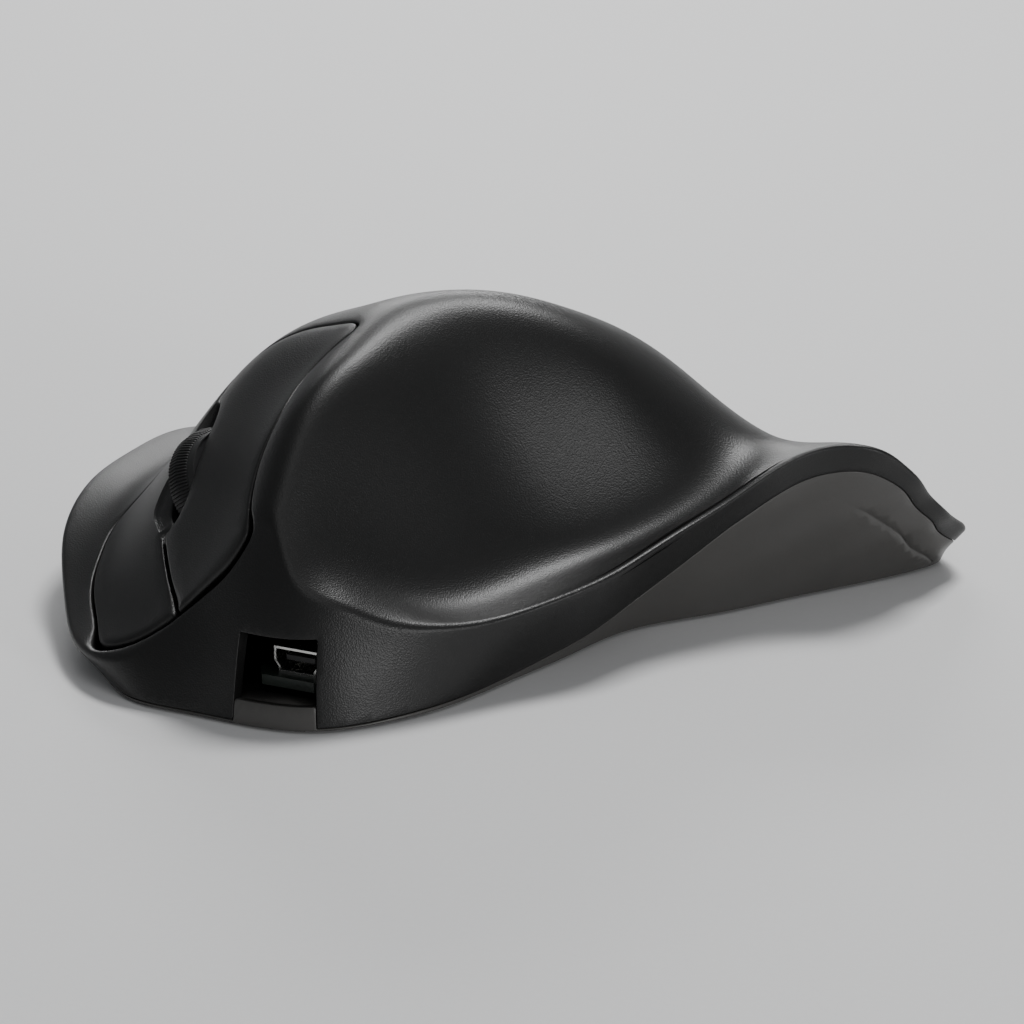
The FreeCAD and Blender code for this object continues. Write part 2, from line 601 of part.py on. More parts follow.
def button_bracket():
    """The tilted plate that carries the button board, the hinge lugs and its legs."""
    thickness, spacer, half_window = from_sheet("bracket_thickness", "bracket_spacer", "board_window")
    half_window = half_window / 2
    top_z = board_top - board_thickness - spacer
    plate = block(-14, 16, -12, hinge_y + 2.4, top_z - thickness, top_z, FINGER)
    tongue = block(-4, 4, -15.3, -11, top_z - thickness, top_z, FINGER)
    window = block(-half_window, half_window, -11.5, 11.5, -40, 0, FINGER)
    root, hinge_top = top_z - 0.5, -hinge_depth + eye_radius
    pieces = [tongue]
    for side in (1, -1):
        u0, u1 = mirrored(side, lug_inner, lug_outer)
        pieces.append(block(u0, u1, cradle_reach - lug_half, hinge_y + lug_half, root, hinge_top, FINGER))
        pieces.append(block(u0, u1, cradle_reach - lug_half, cradle_reach + lug_half,
                            root, cradle_z + eye_radius, FINGER))
        u0, u1 = mirrored(side, outer_lug, outer_lug + lug)
        pieces.append(block(u0, u1, hinge_y - lug_half, hinge_y + lug_half, root, hinge_top, FINGER))
    for u, v in BRACKET_SCREWS:
        pieces.append(rod(1.8, Vec(u, v, top_z - 0.5), Vec(u, v, top_z + spacer), FINGER))
    below_plate = block(-60, 60, -60, 60, -TALL, top_z - thickness / 2, FINGER)
    for u, v in BRACKET_LEGS:
        foot = local(u, v, top_z)
        leg = rod(post_radius, Vec(foot.x, foot.y, floor_top), Vec(foot.x, foot.y, TALL))
        pieces.append(leg.common(below_plate))
    bracket = plate.cut(window).fuse(pieces)
    bores = [
        rod(pin_radius + pin_fit, Vec(-30, hinge_y, -hinge_depth), Vec(30, hinge_y, -hinge_depth), FINGER),
        rod(pin_radius + pin_fit, Vec(-30, cradle_reach, cradle_z), Vec(30, cradle_reach, cradle_z), FINGER),
    ]
    for u, v in BRACKET_SCREWS:
        bores.append(rod(size("board_screw_radius") + 0.02, Vec(u, v, -40), Vec(u, v, 0), FINGER))
    for x, y in leg_places():
        bores.append(rod(size("board_screw_radius") + 0.02, Vec(x, y, 0), Vec(x, y, leg_screw_top + 0.5)))
    return bracket.cut(bores).common(below_skin(wall + 0.4).common(inside_wall(wall + 0.4)))


def leg_places():
    level = board_top - board_thickness - size("bracket_spacer")
    return [(local(u, v, level).x, local(u, v, level).y) for u, v in BRACKET_LEGS]


def screw(radius, length, head_radius, head, place, direction):
    """A pan-head screw with a cross recess; the place is under its head."""
    shank = rod(radius, Vec(0, 0, 0), Vec(0, 0, length))
    top = rod(head_radius, Vec(0, 0, -head), Vec(0, 0, 0))
    reach, half = head_radius * 0.55, head_radius * 0.12
    cross = [block(-a, a, -b, b, -head, -head / 2) for a, b in ((reach, half), (half, reach))]
    made = top.fuse(shank).cut(cross)
    made.Placement = FreeCAD.Placement(place, FreeCAD.Rotation(Vec(0, 0, 1), direction))
    return made


def body_with_pad(node, outline, thickness_formula, place, pocket=None):
    """A flat piece padded from a sketch of straight sides; named sides can be bound to the sheet."""
    body = doc.addObject("PartDesign::Body", node)
    plane = next(item for item in body.Origin.OriginFeatures if item.Role == "XY_Plane")
    sketch = body.newObject("Sketcher::SketchObject", node + "_outline")
    sketch.AttachmentSupport = [(plane, "")]
    sketch.MapMode = "FlatFace"
    for loop in outline:
        first = sketch.GeometryCount
        for i, start_point in enumerate(loop):
            end_point = loop[(i + 1) % len(loop)]
            sketch.addGeometry(Part.LineSegment(Vec(*start_point, 0), Vec(*end_point, 0)), False)
        for i in range(len(loop)):
            following = first + (i + 1) % len(loop)
            sketch.addConstraint(Sketcher.Constraint("Coincident", first + i, 2, following, 1))
    pad = body.newObject("PartDesign::Pad", node + "_pad")
    pad.Profile = sketch
    pad.setExpression("Length", thickness_formula)
    for centre_x, centre_y, radius_formula in pocket or []:
        holes = body.newObject("Sketcher::SketchObject", node + "_hole")
        holes.AttachmentSupport = [(plane, "")]
        holes.MapMode = "FlatFace"
        holes.addGeometry(Part.Circle(Vec(centre_x, centre_y, 0), Vec(0, 0, 1), 1), False)
        bound_radius = holes.addConstraint(Sketcher.Constraint("Radius", 0, 1))
        holes.setExpression(f"Constraints[{bound_radius}]", radius_formula)
        cut = body.newObject("PartDesign::Pocket", node + "_bore")
        cut.Profile = holes
        cut.Type = "ThroughAll"
        cut.Midplane = True
    body.Placement = place
    doc.recompute()
    return keep(node, body)


def switch_group():
    """The two button switches on the button board, with their plungers."""
    long, wide, plunger_wide, plunger_long, plunger_tall, play = from_sheet(
        "switch_length", "switch_width", "plunger_width", "plunger_length", "plunger_height", "plunger_play")
    for side, name in ((1, "left"), (-1, "right")):
        u = side * switch_offset
        housing = block(u - wide / 2, u + wide / 2, -switch_ahead - long / 2, -switch_ahead + long / 2,
                        board_top, board_top + switch_height, FINGER)
        half_u, half_v = plunger_wide / 2, plunger_long / 2
        low = plunger_top - plunger_tall
        well = block(u - half_u - play, u + half_u + play, -switch_ahead - half_v - play,
                     -switch_ahead + half_v + play, low - 1.2, 0, FINGER)
        plunger = block(u - half_u, u + half_u, -switch_ahead - half_v, -switch_ahead + half_v,
                        low, plunger_top, FINGER)
        shaped(f"{name}_switch_body", housing.cut(well))
        shaped(f"{name}_switch_plunger", plunger)


def wheel_switch():
    """The small square switch under the cradle's tab."""
    square, tall, radius, behind, play = from_sheet(
        "tact_size", "tact_height", "tact_radius", "tact_behind", "plunger_play")
    u, v = tact_u, behind
    top = board_top + tall
    housing = block(u - square / 2, u + square / 2, v - square / 2, v + square / 2, board_top, top, FINGER)
    well = rod(radius + play, Vec(u, v, top - 2.2), Vec(u, v, 0), FINGER)
    shaped("wheel_switch_body", housing.cut(well))
    shaped("wheel_switch_plunger", rod(radius, Vec(u, v, top - 1.4), Vec(u, v, top + plunger_out), FINGER))
    return top + plunger_out


def wheel_parts():
    """Hub, ribbed tyre and steel axle of the scroll wheel."""
    depth, crown = from_sheet("tyre_depth", "tyre_crown")
    half = wheel_width / 2
    seat = wheel_radius - depth
    centre = Vec(0, 0, axle_z)
    hub = rod(seat, centre - Vec(half - 0.3, 0, 0), centre + Vec(half - 0.3, 0, 0))
    relief = rod(seat - 1.6, centre + Vec(half - 1.6, 0, 0), centre + Vec(half, 0, 0))
    other = rod(seat - 1.6, centre - Vec(half, 0, 0), centre - Vec(half - 1.6, 0, 0))
    side = Vec(cradle_inner - side_play, 0, 0)
    boss = rod(2.4, centre - side, centre + side)
    hub = hub.cut([relief, other]).fuse(boss)
    slots = []
    for i in range(12):
        y, z = 4.6 * math.cos(i * math.pi / 6), axle_z + 4.6 * math.sin(i * math.pi / 6)
        slots.append(rod(0.9, Vec(-half, y, z), Vec(half, y, z)))
    bore = rod(axle_radius + 0.02, centre - Vec(10, 0, 0), centre + Vec(10, 0, 0))
    hub = hub.cut(slots + [bore])
    hub.Placement = FINGER
    shaped("wheel_hub", hub)
    corner, edge = 0.9, wheel_radius - crown
    profile = [(-half, seat), (half, seat), (half, edge - corner), (half - corner, edge), (0.5, wheel_radius),
               (-0.5, wheel_radius), (corner - half, edge), (-half, edge - corner), (-half, seat)]
    ring = Part.Face(Part.makePolygon([Vec(u, 0, r + axle_z) for u, r in profile]))
    tyre = ring.revolve(centre, Vec(1, 0, 0), 360)
    tyre.Placement = FINGER
    shaped("wheel_tyre", tyre)
    reach = cradle_outer - 0.2
    shaped("wheel_axle", rod(axle_radius, centre - Vec(reach, 0, 0), centre + Vec(reach, 0, 0), FINGER))


def wheel_cradle(tab_bottom):
    """The yoke that holds the wheel's axle and tips on its pin when the wheel is pressed."""
    pieces = []
    pivot = Vec(0, cradle_reach, cradle_z)
    for side in (1, -1):
        u0, u1 = mirrored(side, cradle_inner, cradle_outer)
        pieces.append(block(u0, u1, 0, cradle_reach, cradle_z - 1.9, axle_z + 1.2))
        pieces.append(rod(2.0, Vec(u0, 0, axle_z), Vec(u1, 0, axle_z)))
        pieces.append(rod(eye_radius, pivot + Vec(u0, 0, 0), pivot + Vec(u1, 0, 0)))
    pieces.append(block(-cradle_inner - 0.5, cradle_inner + 0.5, 12.2, 13.8, cradle_z - 1.9, cradle_z + 0.6))
    tab_front = size("tact_behind") - 1.5
    tab = block(cradle_outer - 0.5, tact_u + 1.5, tab_front, tab_front + 3, tab_bottom, tab_bottom + 1.2)
    pieces.append(tab)
    bores = [rod(pin_radius + running_play, pivot - Vec(10, 0, 0), pivot + Vec(10, 0, 0)),
             rod(axle_radius + running_play, Vec(-10, 0, axle_z), Vec(10, 0, axle_z))]
    cradle = pieces[0].fuse(pieces[1:]).cut(bores)
    cradle.Placement = FINGER
    shaped("wheel_cradle", cradle)
    reach = lug_outer
    shaped("cradle_pin", rod(pin_radius, pivot - Vec(reach, 0, 0), pivot + Vec(reach, 0, 0), FINGER))
    hinge = Vec(0, hinge_y, -hinge_depth)
    reach = outer_lug + lug
    shaped("button_hinge_pin", rod(pin_radius, hinge - Vec(reach, 0, 0), hinge + Vec(reach, 0, 0), FINGER))


def button_board():
    width, front, back, window = from_sheet(
        "button_board_width", "button_board_front", "button_board_back", "board_window")
    window_front = 11.4
    outline = [(-width / 2, -front), (width / 2, -front), (width / 2, back), (window / 2, back),
               (window / 2, -window_front), (-window / 2, -window_front),
               (-window / 2, back), (-width / 2, back)]
    holes = [(u, v, "Sizes.board_screw_radius + 0.1") for u, v in BRACKET_SCREWS]
    place = FINGER.multiply(at(0, 0, board_top - board_thickness))
    body_with_pad("button_board", [outline], "Sizes.board_thickness", place, holes)


def main_board():
    outline = [(-9.3, -55.8), (-0.6, -55.8), (2.5, -52), (2.5, -30),
               (13.5, -24), (14, 20.5), (-11, 20.5), (-11, -53)]
    holes = [(x, y, "Sizes.board_screw_radius + 0.1") for x, y in BOARD_SCREWS]
    holes.append((size("sensor_x"), size("sensor_y"), "2.5"))
    body_with_pad("main_board", [outline], "Sizes.board_thickness", at(0, 0, main_board_z), holes)


def socket():
    """The charging socket on the main board: a tapered sheet shell and the tongue inside it."""
    x, width, height, length, sheet_thickness, mouth = from_sheet(
        "usb_x", "usb_width", "usb_height", "usb_length", "usb_sheet", "usb_mouth_y")
    board = main_board_z + board_thickness
    half, low_half = width / 2, width / 2 - 0.75

    def section(inset):
        right = [(half - inset, height - inset), (half - inset, height * 0.45),
                 (low_half - inset, height * 0.2), (low_half - inset, inset)]
        points = right + [(-px, pz) for px, pz in reversed(right)]
        ring = [Vec(x + px, mouth, board + pz) for px, pz in points]
        return Part.Face(Part.makePolygon(ring + ring[:1]))

    shell = section(0).extrude(Vec(0, length, 0))
    shell = shell.cut(section(sheet_thickness).extrude(Vec(0, length - 0.8, 0)))
    shaped("usb_shell", shell)
    tongue = block(x - 2.4, x + 2.4, mouth + 1.2, mouth + length - 0.8, board + 1.6, board + 2.4)
    shaped("usb_tongue", tongue)


def sensor_parts():
    x, y, square, tall = from_sheet("sensor_x", "sensor_y", "sensor_size", "sensor_height")
    board = main_board_z + board_thickness
    chip = bound("Part::Box", "optical_sensor", at(x - square / 2, y - square / 2, board),
                 Length="Sizes.sensor_size", Width="Sizes.sensor_size", Height="Sizes.sensor_height")
    keep("optical_sensor", chip)
    long, wide, radius = from_sheet("lens_length", "lens_width", "window_radius")
    plate = block(x - wide / 2, x + wide / 2, y - long / 2, y + long / 2, floor_top, main_board_z - 0.2)
    barrel = rod(radius - 0.4, Vec(x, y, base_z + 0.5), Vec(x, y, floor_top + 0.5))
    dome = Part.makeSphere(2.0, Vec(x, y, main_board_z - 0.9))
    shaped("sensor_lens", plate.fuse([barrel, dome]))
    lamp = rod(1.5, Vec(x, y + 6.8, board), Vec(x, y + 6.8, board + 2.4))
    shaped("sensor_led", lamp.fuse(Part.makeSphere(1.5, Vec(x, y + 6.8, board + 2.4))))


def battery_parts():
    radius, long, x, y, play, contact, tray_wall = from_sheet(
        "battery_radius", "battery_length", "battery_x", "battery_y", "battery_play",
        "contact_thickness", "tray_wall")
    axis_z = floor_top + tray_wall + play + radius
    start_point, end_point = Vec(x - long / 2, y, axis_z), Vec(x + long / 2, y, axis_z)
    cell = bound("Part::Cylinder", "battery", FreeCAD.Placement(start_point, ACROSS),
                 Radius="Sizes.battery_radius", Height="Sizes.battery_length")
    keep("battery", cell)
    inner, outer = long / 2 + contact, long / 2 + contact + tray_wall
    side = radius + play + tray_wall
    tray = block(x - outer, x + outer, y - side, y + side, floor_top, axis_z + 1)
    trough = rod(radius + play, Vec(x - inner, y, axis_z), Vec(x + inner, y, axis_z))
    shaft = block(x - inner, x + inner, y - radius - play, y + radius + play, axis_z, axis_z + 5)
    shaped("battery_tray", tray.cut([trough, shaft]))
    depth = Vec(contact, 0, 0)
    plates = [rod(4.0, end_point, end_point + depth), rod(4.0, start_point - depth, start_point)]
    shaped("battery_contacts", Part.makeCompound(plates))


def power_switch():
    x, y, travel, long, wide, play = from_sheet(
        "slider_x", "slider_y", "slider_travel", "slider_length", "slider_width", "slider_play")
    middle = y + travel / 2
    housing = block(x - 3.4, x + 3.4, middle - 5.5, middle + 5.5, floor_top, main_board_z - 0.1)
    shaped("power_switch_body", housing.cut(slider_slot(main_board_z - 0.6)))
    knob = block(x - wide / 2, x + wide / 2, y - long / 2, y + long / 2, 0.2, main_board_z - 0.8)
    shaped("power_switch_knob", knob)


def fasteners():
    up, down = Vec(0, 0, 1), Vec(0, 0, -1)
    case = [screw(screw_radius, screw_length, screw_head_radius, screw_head, Vec(x, y, screw_seat), up)
            for x, y in CASE_SCREWS]
    shaped("case_screws", Part.makeCompound(case))
    board_level = main_board_z + board_thickness
    short = board_level - base_z - 0.9

    def small_screw(length, place, direction):
        return screw(board_screw_radius, length, board_screw_head, 1.0, place, direction)

    board = [small_screw(short, Vec(x, y, board_level), down) for x, y in BOARD_SCREWS]
    shaped("board_screws", Part.makeCompound(board))
    inward = FINGER.Rotation.multVec(down)
    tilted = [small_screw(board_screw_length - 0.6, local(u, v, board_top), inward) for u, v in BRACKET_SCREWS]
    legs = [small_screw(board_screw_length, Vec(x, y, leg_screw_seat), up) for x, y in leg_places()]
    shaped("bracket_screws", Part.makeCompound(tilted + legs))
    foot_radius, foot_height = from_sheet("foot_radius", "foot_height")
    feet = [rod(foot_radius, Vec(x, y, 0), Vec(x, y, foot_height)) for x, y in FEET]
    shaped("glide_feet", Part.makeCompound(feet))


tact_u = lug_inner + 0.3 + size("tact_size") / 2
shaped("top_shell", top_shell())
shaped("bottom_shell", bottom_shell())
far_half, near_half = button_solids()
shaped("left_button", button(near_half, 1))
shaped("right_button", button(far_half, -1))
shaped("button_bracket", button_bracket())
button_board()
switch_group()
tab_bottom = wheel_switch() + press_gap
wheel_parts()
wheel_cradle(tab_bottom)
main_board()
socket()
sensor_parts()
battery_parts()
power_switch()
radio = bound("Part::Box", "radio_module", at(-4, 4, main_board_z + board_thickness),
              Length="Sizes.radio_size", Width="Sizes.radio_size", Height="Sizes.radio_height")
keep("radio_module", radio)
fasteners()
doc.recompute()

for item in doc.Objects:
    if "Invalid" in item.State or "Error" in item.State:
        raise RuntimeError(f"{item.Label} failed: {item.State}")
for made in nodes:
    if made.Shape.isNull() or not made.Shape.isValid():
        raise RuntimeError(f"{made.Label} has no sound shape")
os.makedirs("parts", exist_ok=True)
for made in nodes:
    made.Shape.exportStep(f"parts/{made.Label}.step")
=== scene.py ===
import math

import bmesh
import bpy
import numpy as np
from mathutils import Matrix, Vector, geometry
from mathutils.bvhtree import BVHTree


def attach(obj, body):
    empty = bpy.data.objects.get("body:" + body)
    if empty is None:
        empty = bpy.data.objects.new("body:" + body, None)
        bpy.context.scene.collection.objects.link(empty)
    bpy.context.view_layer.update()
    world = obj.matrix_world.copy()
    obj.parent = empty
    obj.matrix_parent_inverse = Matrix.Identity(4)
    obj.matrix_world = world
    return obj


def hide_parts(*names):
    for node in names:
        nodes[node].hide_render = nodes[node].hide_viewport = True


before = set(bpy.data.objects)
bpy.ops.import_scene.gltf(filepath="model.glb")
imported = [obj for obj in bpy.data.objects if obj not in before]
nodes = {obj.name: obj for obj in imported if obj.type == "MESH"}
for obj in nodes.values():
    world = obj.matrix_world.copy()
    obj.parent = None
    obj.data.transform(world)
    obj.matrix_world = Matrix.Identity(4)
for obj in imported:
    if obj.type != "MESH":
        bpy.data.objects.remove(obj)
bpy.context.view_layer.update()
MM = 0.001

# Camera and studio. The photograph is taken from the front, a little towards the thumb side and
# a little from above, with a long lens. The mouse stands on a plain pale floor in soft light.
LOOK_AT = Vector((0.015, -0.020, 0.024))
AZIMUTH, ELEVATION, DISTANCE, LENS = math.radians(25), math.radians(20), 0.6, 138.5
away = Vector((math.sin(AZIMUTH) * math.cos(ELEVATION), -math.cos(AZIMUTH) * math.cos(ELEVATION),
               math.sin(ELEVATION)))
camera = bpy.data.objects.new("camera", bpy.data.cameras.new("camera"))
bpy.context.scene.collection.objects.link(camera)
camera.data.sensor_width = 36
camera.data.lens = LENS
camera.data.clip_start = 0.01
camera.location = LOOK_AT + away * DISTANCE
camera.rotation_euler = (-away).to_track_quat("-Z", "Y").to_euler()
bpy.context.scene.camera = camera


def add_object(name, mesh):
    item = bpy.data.objects.new(name, mesh)
    bpy.context.scene.collection.objects.link(item)
    return item


def softbox(name, place, size_x, size_y, watts):
    """A rectangular lamp in metres and watts, turned to the mouse."""
    lamp = bpy.data.lights.new(name, "AREA")
    lamp.shape = "RECTANGLE"
    lamp.size, lamp.size_y, lamp.energy = size_x, size_y, watts
    item = add_object(name, lamp)
    item.location = place
    item.rotation_euler = (LOOK_AT - Vector(place)).to_track_quat("-Z", "Y").to_euler()


def node_material(name):
    """A new material with its node tree, its surface shader and a short way to add nodes."""
    made = bpy.data.materials.new(name)
    made.use_nodes = True
    tree = made.node_tree
    surface = tree.nodes["Principled BSDF"]

    def add(kind, **settings):
        node = tree.nodes.new(kind)
        for key, value in settings.items():
            if key in node.inputs:
                node.inputs[key].default_value = value
            else:
                setattr(node, key, value)
        return node

    return made, surface, add, tree.links.new


floor_material, surface, add, link = node_material("studio_floor")
grain = add("ShaderNodeTexNoise", Scale=900.0, Detail=3.0)
where = add("ShaderNodeTexCoord")
link(where.outputs["Object"], grain.inputs["Vector"])
shade = add("ShaderNodeMapRange", **{"To Min": 0.78, "To Max": 0.81})
link(grain.outputs["Fac"], shade.inputs["Value"])
both = add("ShaderNodeCombineColor")
for channel in ("Red", "Green", "Blue"):
    link(shade.outputs["Result"], both.inputs[channel])
link(both.outputs["Color"], surface.inputs["Base Color"])
surface.inputs["Roughness"].default_value = 0.65

# The floor sweeps up into a back wall behind the mouse.
FLOOR_FRONT, SWEEP_START, SWEEP_RADIUS, SWEEP_STEPS = -1.4, 0.9, 0.5, 24
BACK_WALL_TOP, FLOOR_HALF_WIDTH = 2.2, 2.4
sweep = []
for i in range(SWEEP_STEPS + 1):
    turn = math.radians(90 * i / SWEEP_STEPS)
    sweep.append((SWEEP_START + SWEEP_RADIUS * math.sin(turn), SWEEP_RADIUS - SWEEP_RADIUS * math.cos(turn)))
profile = [(FLOOR_FRONT, 0.0)] + sweep + [(SWEEP_START + SWEEP_RADIUS, BACK_WALL_TOP)]
corners = [(x, y, z) for y, z in profile for x in (-FLOOR_HALF_WIDTH, FLOOR_HALF_WIDTH)]
quads = [(2 * i, 2 * i + 1, 2 * i + 3, 2 * i + 2) for i in range(len(profile) - 1)]
mesh = bpy.data.meshes.new("floor")
mesh.from_pydata(corners, [], quads)
mesh.shade_smooth()
mesh.materials.append(floor_material)
floor = add_object("floor", mesh)

softbox("key_above", (0.05, 0.5, 0.95), 0.34, 0.24, 9.0)
softbox("edge_far", (-0.5, 0.9, 0.42), 0.5, 0.18, 3.2)
softbox("edge_thumb", (0.95, -0.42, 0.2), 0.22, 0.16, 3.0)
softbox("fill_above", (0.5, -0.6, 1.1), 0.6, 0.6, 1.2)
world = bpy.data.worlds.new("studio")
world.use_nodes = True
world.node_tree.nodes["Background"].inputs["Color"].default_value = (0.9, 0.92, 0.95, 1)
world.node_tree.nodes["Background"].inputs["Strength"].default_value = 0.2
bpy.context.scene.world = world

# Lower shell. A shallow tray moulded in smooth, satin dark grey ABS that closes the mouse from
# below: floor, bosses and a wall that climbs under the flange. The skin of both shells follows the
# same hand form, laid over the guide lines as one flattened sheet. Screws hold it from below.

# Guide lines run from front to back: at each station along y, their place x and height z.
STATIONS = [-65, -53, -40, -25, -10, 5, 20, 35, 50, 65]
GUIDES = {
    "flange_out": [(-77, -4), (-77, 2), (-79, 4), (-82, 8), (-83, 10), (-83, 10.8),
                   (-82, 9.8), (-80, 5.5), (-75, 0), (-75, -8)],
    "flange_middle": [(-57, 0), (-51, 3.5), (-57.5, 7), (-60.5, 12), (-61, 15), (-61, 15.3),
                      (-61, 14.3), (-58, 10), (-55, 4), (-55, -6)],
    "flange_valley": [(-43, 2), (-41, 5.8), (-47.5, 9.3), (-51.5, 14.7), (-52.5, 17.6), (-51.5, 18),
                      (-49, 16.8), (-45, 13), (-42, 7.5), (-42, -4)],
    "button_slope": [(-29, 4), (-26, 14), (-33, 22.7), (-35.8, 32), (-36.5, 37), (-34.8, 37),
                     (-33, 33), (-31, 25), (-30, 12.5), (-30, -1)],
    "near_edge": [(-15, 10), (-15, 24.6), (-16, 38), (-17, 44.5), (-18, 48.6), (-15, 46.9),
                  (-15, 42), (-15, 32), (-15, 17), (-15, 1)],
    "ridge": [(-9, 12), (-9.5, 28), (-9, 41.3), (-6.5, 47.8), (-1.5, 50.2), (11, 48.6),
              (7, 43.6), (7, 33), (7, 17.5), (7, 1)],
    "hollow_wall": [(-3, 12), (-4, 23), (-2, 29), (3, 33), (9, 37), (22, 38.1),
                    (23, 38), (23, 28.2), (23, 15), (23, 0.5)],
    "hollow_floor": [(7, 8), (3, 18), (7, 16), (14, 15), (21, 17), (32, 22),
                     (37, 26.9), (37, 21.9), (37, 12.5), (37, -1)],
    "rim": [(17, 6), (9, 14), (16, 13.2), (25.5, 14.3), (33, 17.3), (39.5, 21.5),
            (52.5, 27.9), (53, 19.7), (53, 9.5), (53, -2)],
    "rim_out": [(29, 4), (21, 8.5), (27, 12.5), (37, 14.5), (45, 19.5), (51, 25.7),
                (65, 27.5), (71, 12.2), (71, 4.2), (71, -4)],
}

# The side wall, station by station round the object: its foot (x, y) on the table and its
# crest (x, y, z) under the rim. Between them the wall is straight but for a bulge outwards.
WALL = [
    ((-20, -61.5), (-23, -53.8, 16.5), 0.8),
    ((-9, -61.7), (-12, -52.3, 27), 1.2),
    ((1, -59.8), (-4, -53.9, 23), 1.0),
    ((8.8, -52.9), (4.2, -52.0, 17), 0.5),
    ((14.9, -43.0), (13.9, -43.6, 13.5), 0),
    ((19.1, -30.2), (24.6, -29.5, 14), -0.5),
    ((23.1, -16.8), (31, -20.5, 15.8), -1.0),
    ((27.4, -3.0), (36.7, -5.5, 18.8), -1.5),
    ((36.8, 9.1), (43.2, 7, 23), -2.0),
    ((44.8, 20.3), (50.4, 17.6, 27.5), -2.0),
    ((53.8, 32.6), (59.6, 23.6, 26.5), -1.5),
    ((59.2, 41), (64.4, 33, 18), -0.3),
    ((61.3, 46.8), (66.3, 44, 8), 0.3),
    ((53, 53), (57, 56, 7.5), 0.3),
    ((35, 57), (37, 60.5, 6), 0.5),
    ((5, 58), (5, 61.5, 6), 0.5),
    ((-20, 55), (-23, 59, 6), 0.5),
    ((-40, 46), (-46, 49, 7), 0.5),
    ((-52, 29), (-59.4, 32, 10), 0.5),
    ((-57, 11), (-66.4, 13, 13.8), 0.5),
    ((-56, -9), (-65.5, -8.2, 13), 0.6),
    ((-51.5, -27.5), (-60.1, -26.5, 10), 0.7),
    ((-45.6, -42.4), (-52.8, -41.8, 7), 0.7),
    ((-36.8, -54.6), (-43.4, -53.9, 5), 0.8),
    ((-28.4, -60.8), (-33.5, -58.8, 6), 0.8),
]

# Height of the parting line along the thumb side and along the other sides.
PARTING_THUMB = [(-62, 1.0), (-45, 1.3), (-28, 1.8), (-20, 2.6), (-7.2, 4.8), (0, 9.5), (5.7, 14.8),
                 (11.7, 18.6), (16, 21.3), (20.9, 23.1), (23.6, 22.6), (30, 17.6),
                 (36.6, 11.2), (41, 7.3), (45.9, 4.8), (62, 4)]
PARTING_FAR = [(-62, 1.0), (-45, 1.2), (-25, 3), (-10, 4.5), (20, 5), (40, 4.5), (62, 4)]
PARTING_BLEND_X = (0, 17)
PARTING_ENDS = (-62, 62)

# Heights at which the wall's rings are drawn, and points round each ring. Beyond the crest the
# flattened skin runs on along rays whose directions are evened out over RAY_SPREAD points. FAR_AWAY
# stands for spots that no ray reaches, and BATCH is how many spots are worked on at once.
BASE_Z = 0.5
LEVELS = np.array([BASE_Z, 7.0, 15.0, 27.0, 60.0])
AROUND = 1000
RAY_SPREAD = 22
RIM_ROUND = 1.1
RIM_TURN = (0.25, 2.2)
RIM_REACH = (0.6, 5.0)
RIM_EVENING = 25
CREST_STEP = 0.25
FAR_AWAY = -99.0
BATCH = 2000


def bends_of(knots, values):
    """Second derivatives of the natural cubic curve through values at knots, down the first axis."""
    gap = knots[1:] - knots[:-1]
    slope = (values[1:] - values[:-1]) / gap
    factor, rest = [0 * slope[0]], [0 * slope[0]]
    for i in range(1, len(knots) - 1):
        pivot = 2 * (gap[i - 1] + gap[i]) - gap[i - 1] * factor[-1]
        factor.append(gap[i] / pivot)
        rest.append((6 * (slope[i] - slope[i - 1]) - gap[i - 1] * rest[-1]) / pivot)
    bends = [0 * slope[0]]
    for i in range(len(knots) - 2, 0, -1):
        bends.insert(0, rest[i] - factor[i] * bends[0])
    return np.array([0 * slope[0]] + bends)


def between(gap, part, start, end, start_bend, end_bend):
    """A point on one stretch of a natural cubic curve."""
    rest = 1 - part
    bend = (rest**3 - rest) * start_bend + (part**3 - part) * end_bend
    return rest * start + part * end + bend * gap * gap / 6


def curve(knots, values):
    """A smooth curve through points, as a function of the knots."""
    knots, values = np.array(knots, float), np.array(values, float)
    bends = bends_of(knots, values)

    def at(place):
        i = np.clip(np.searchsorted(knots, place) - 1, 0, len(knots) - 2)
        gap = knots[i + 1] - knots[i]
        return between(gap, (place - knots[i]) / gap, values[i], values[i + 1], bends[i], bends[i + 1])

    return at


guide_x = [curve(STATIONS, [x for x, z in guide]) for guide in GUIDES.values()]
guide_z = [curve(STATIONS, [z for x, z in guide]) for guide in GUIDES.values()]


def skin_height(x, y):
    """Height of the top skin over points of the plan."""
    places = np.array([guide(y) for guide in guide_x])
    heights = np.array([guide(y) for guide in guide_z])
    bends = bends_of(places, heights)
    i = np.clip((x > places[1:-1]).sum(0), 0, len(places) - 2)

    def pick(table, row):
        return np.take_along_axis(table, row[None], 0)[0]

    start, end = pick(places, i), pick(places, i + 1)
    gap = end - start
    return between(gap, (x - start) / gap, pick(heights, i), pick(heights, i + 1),
                   pick(bends, i), pick(bends, i + 1))


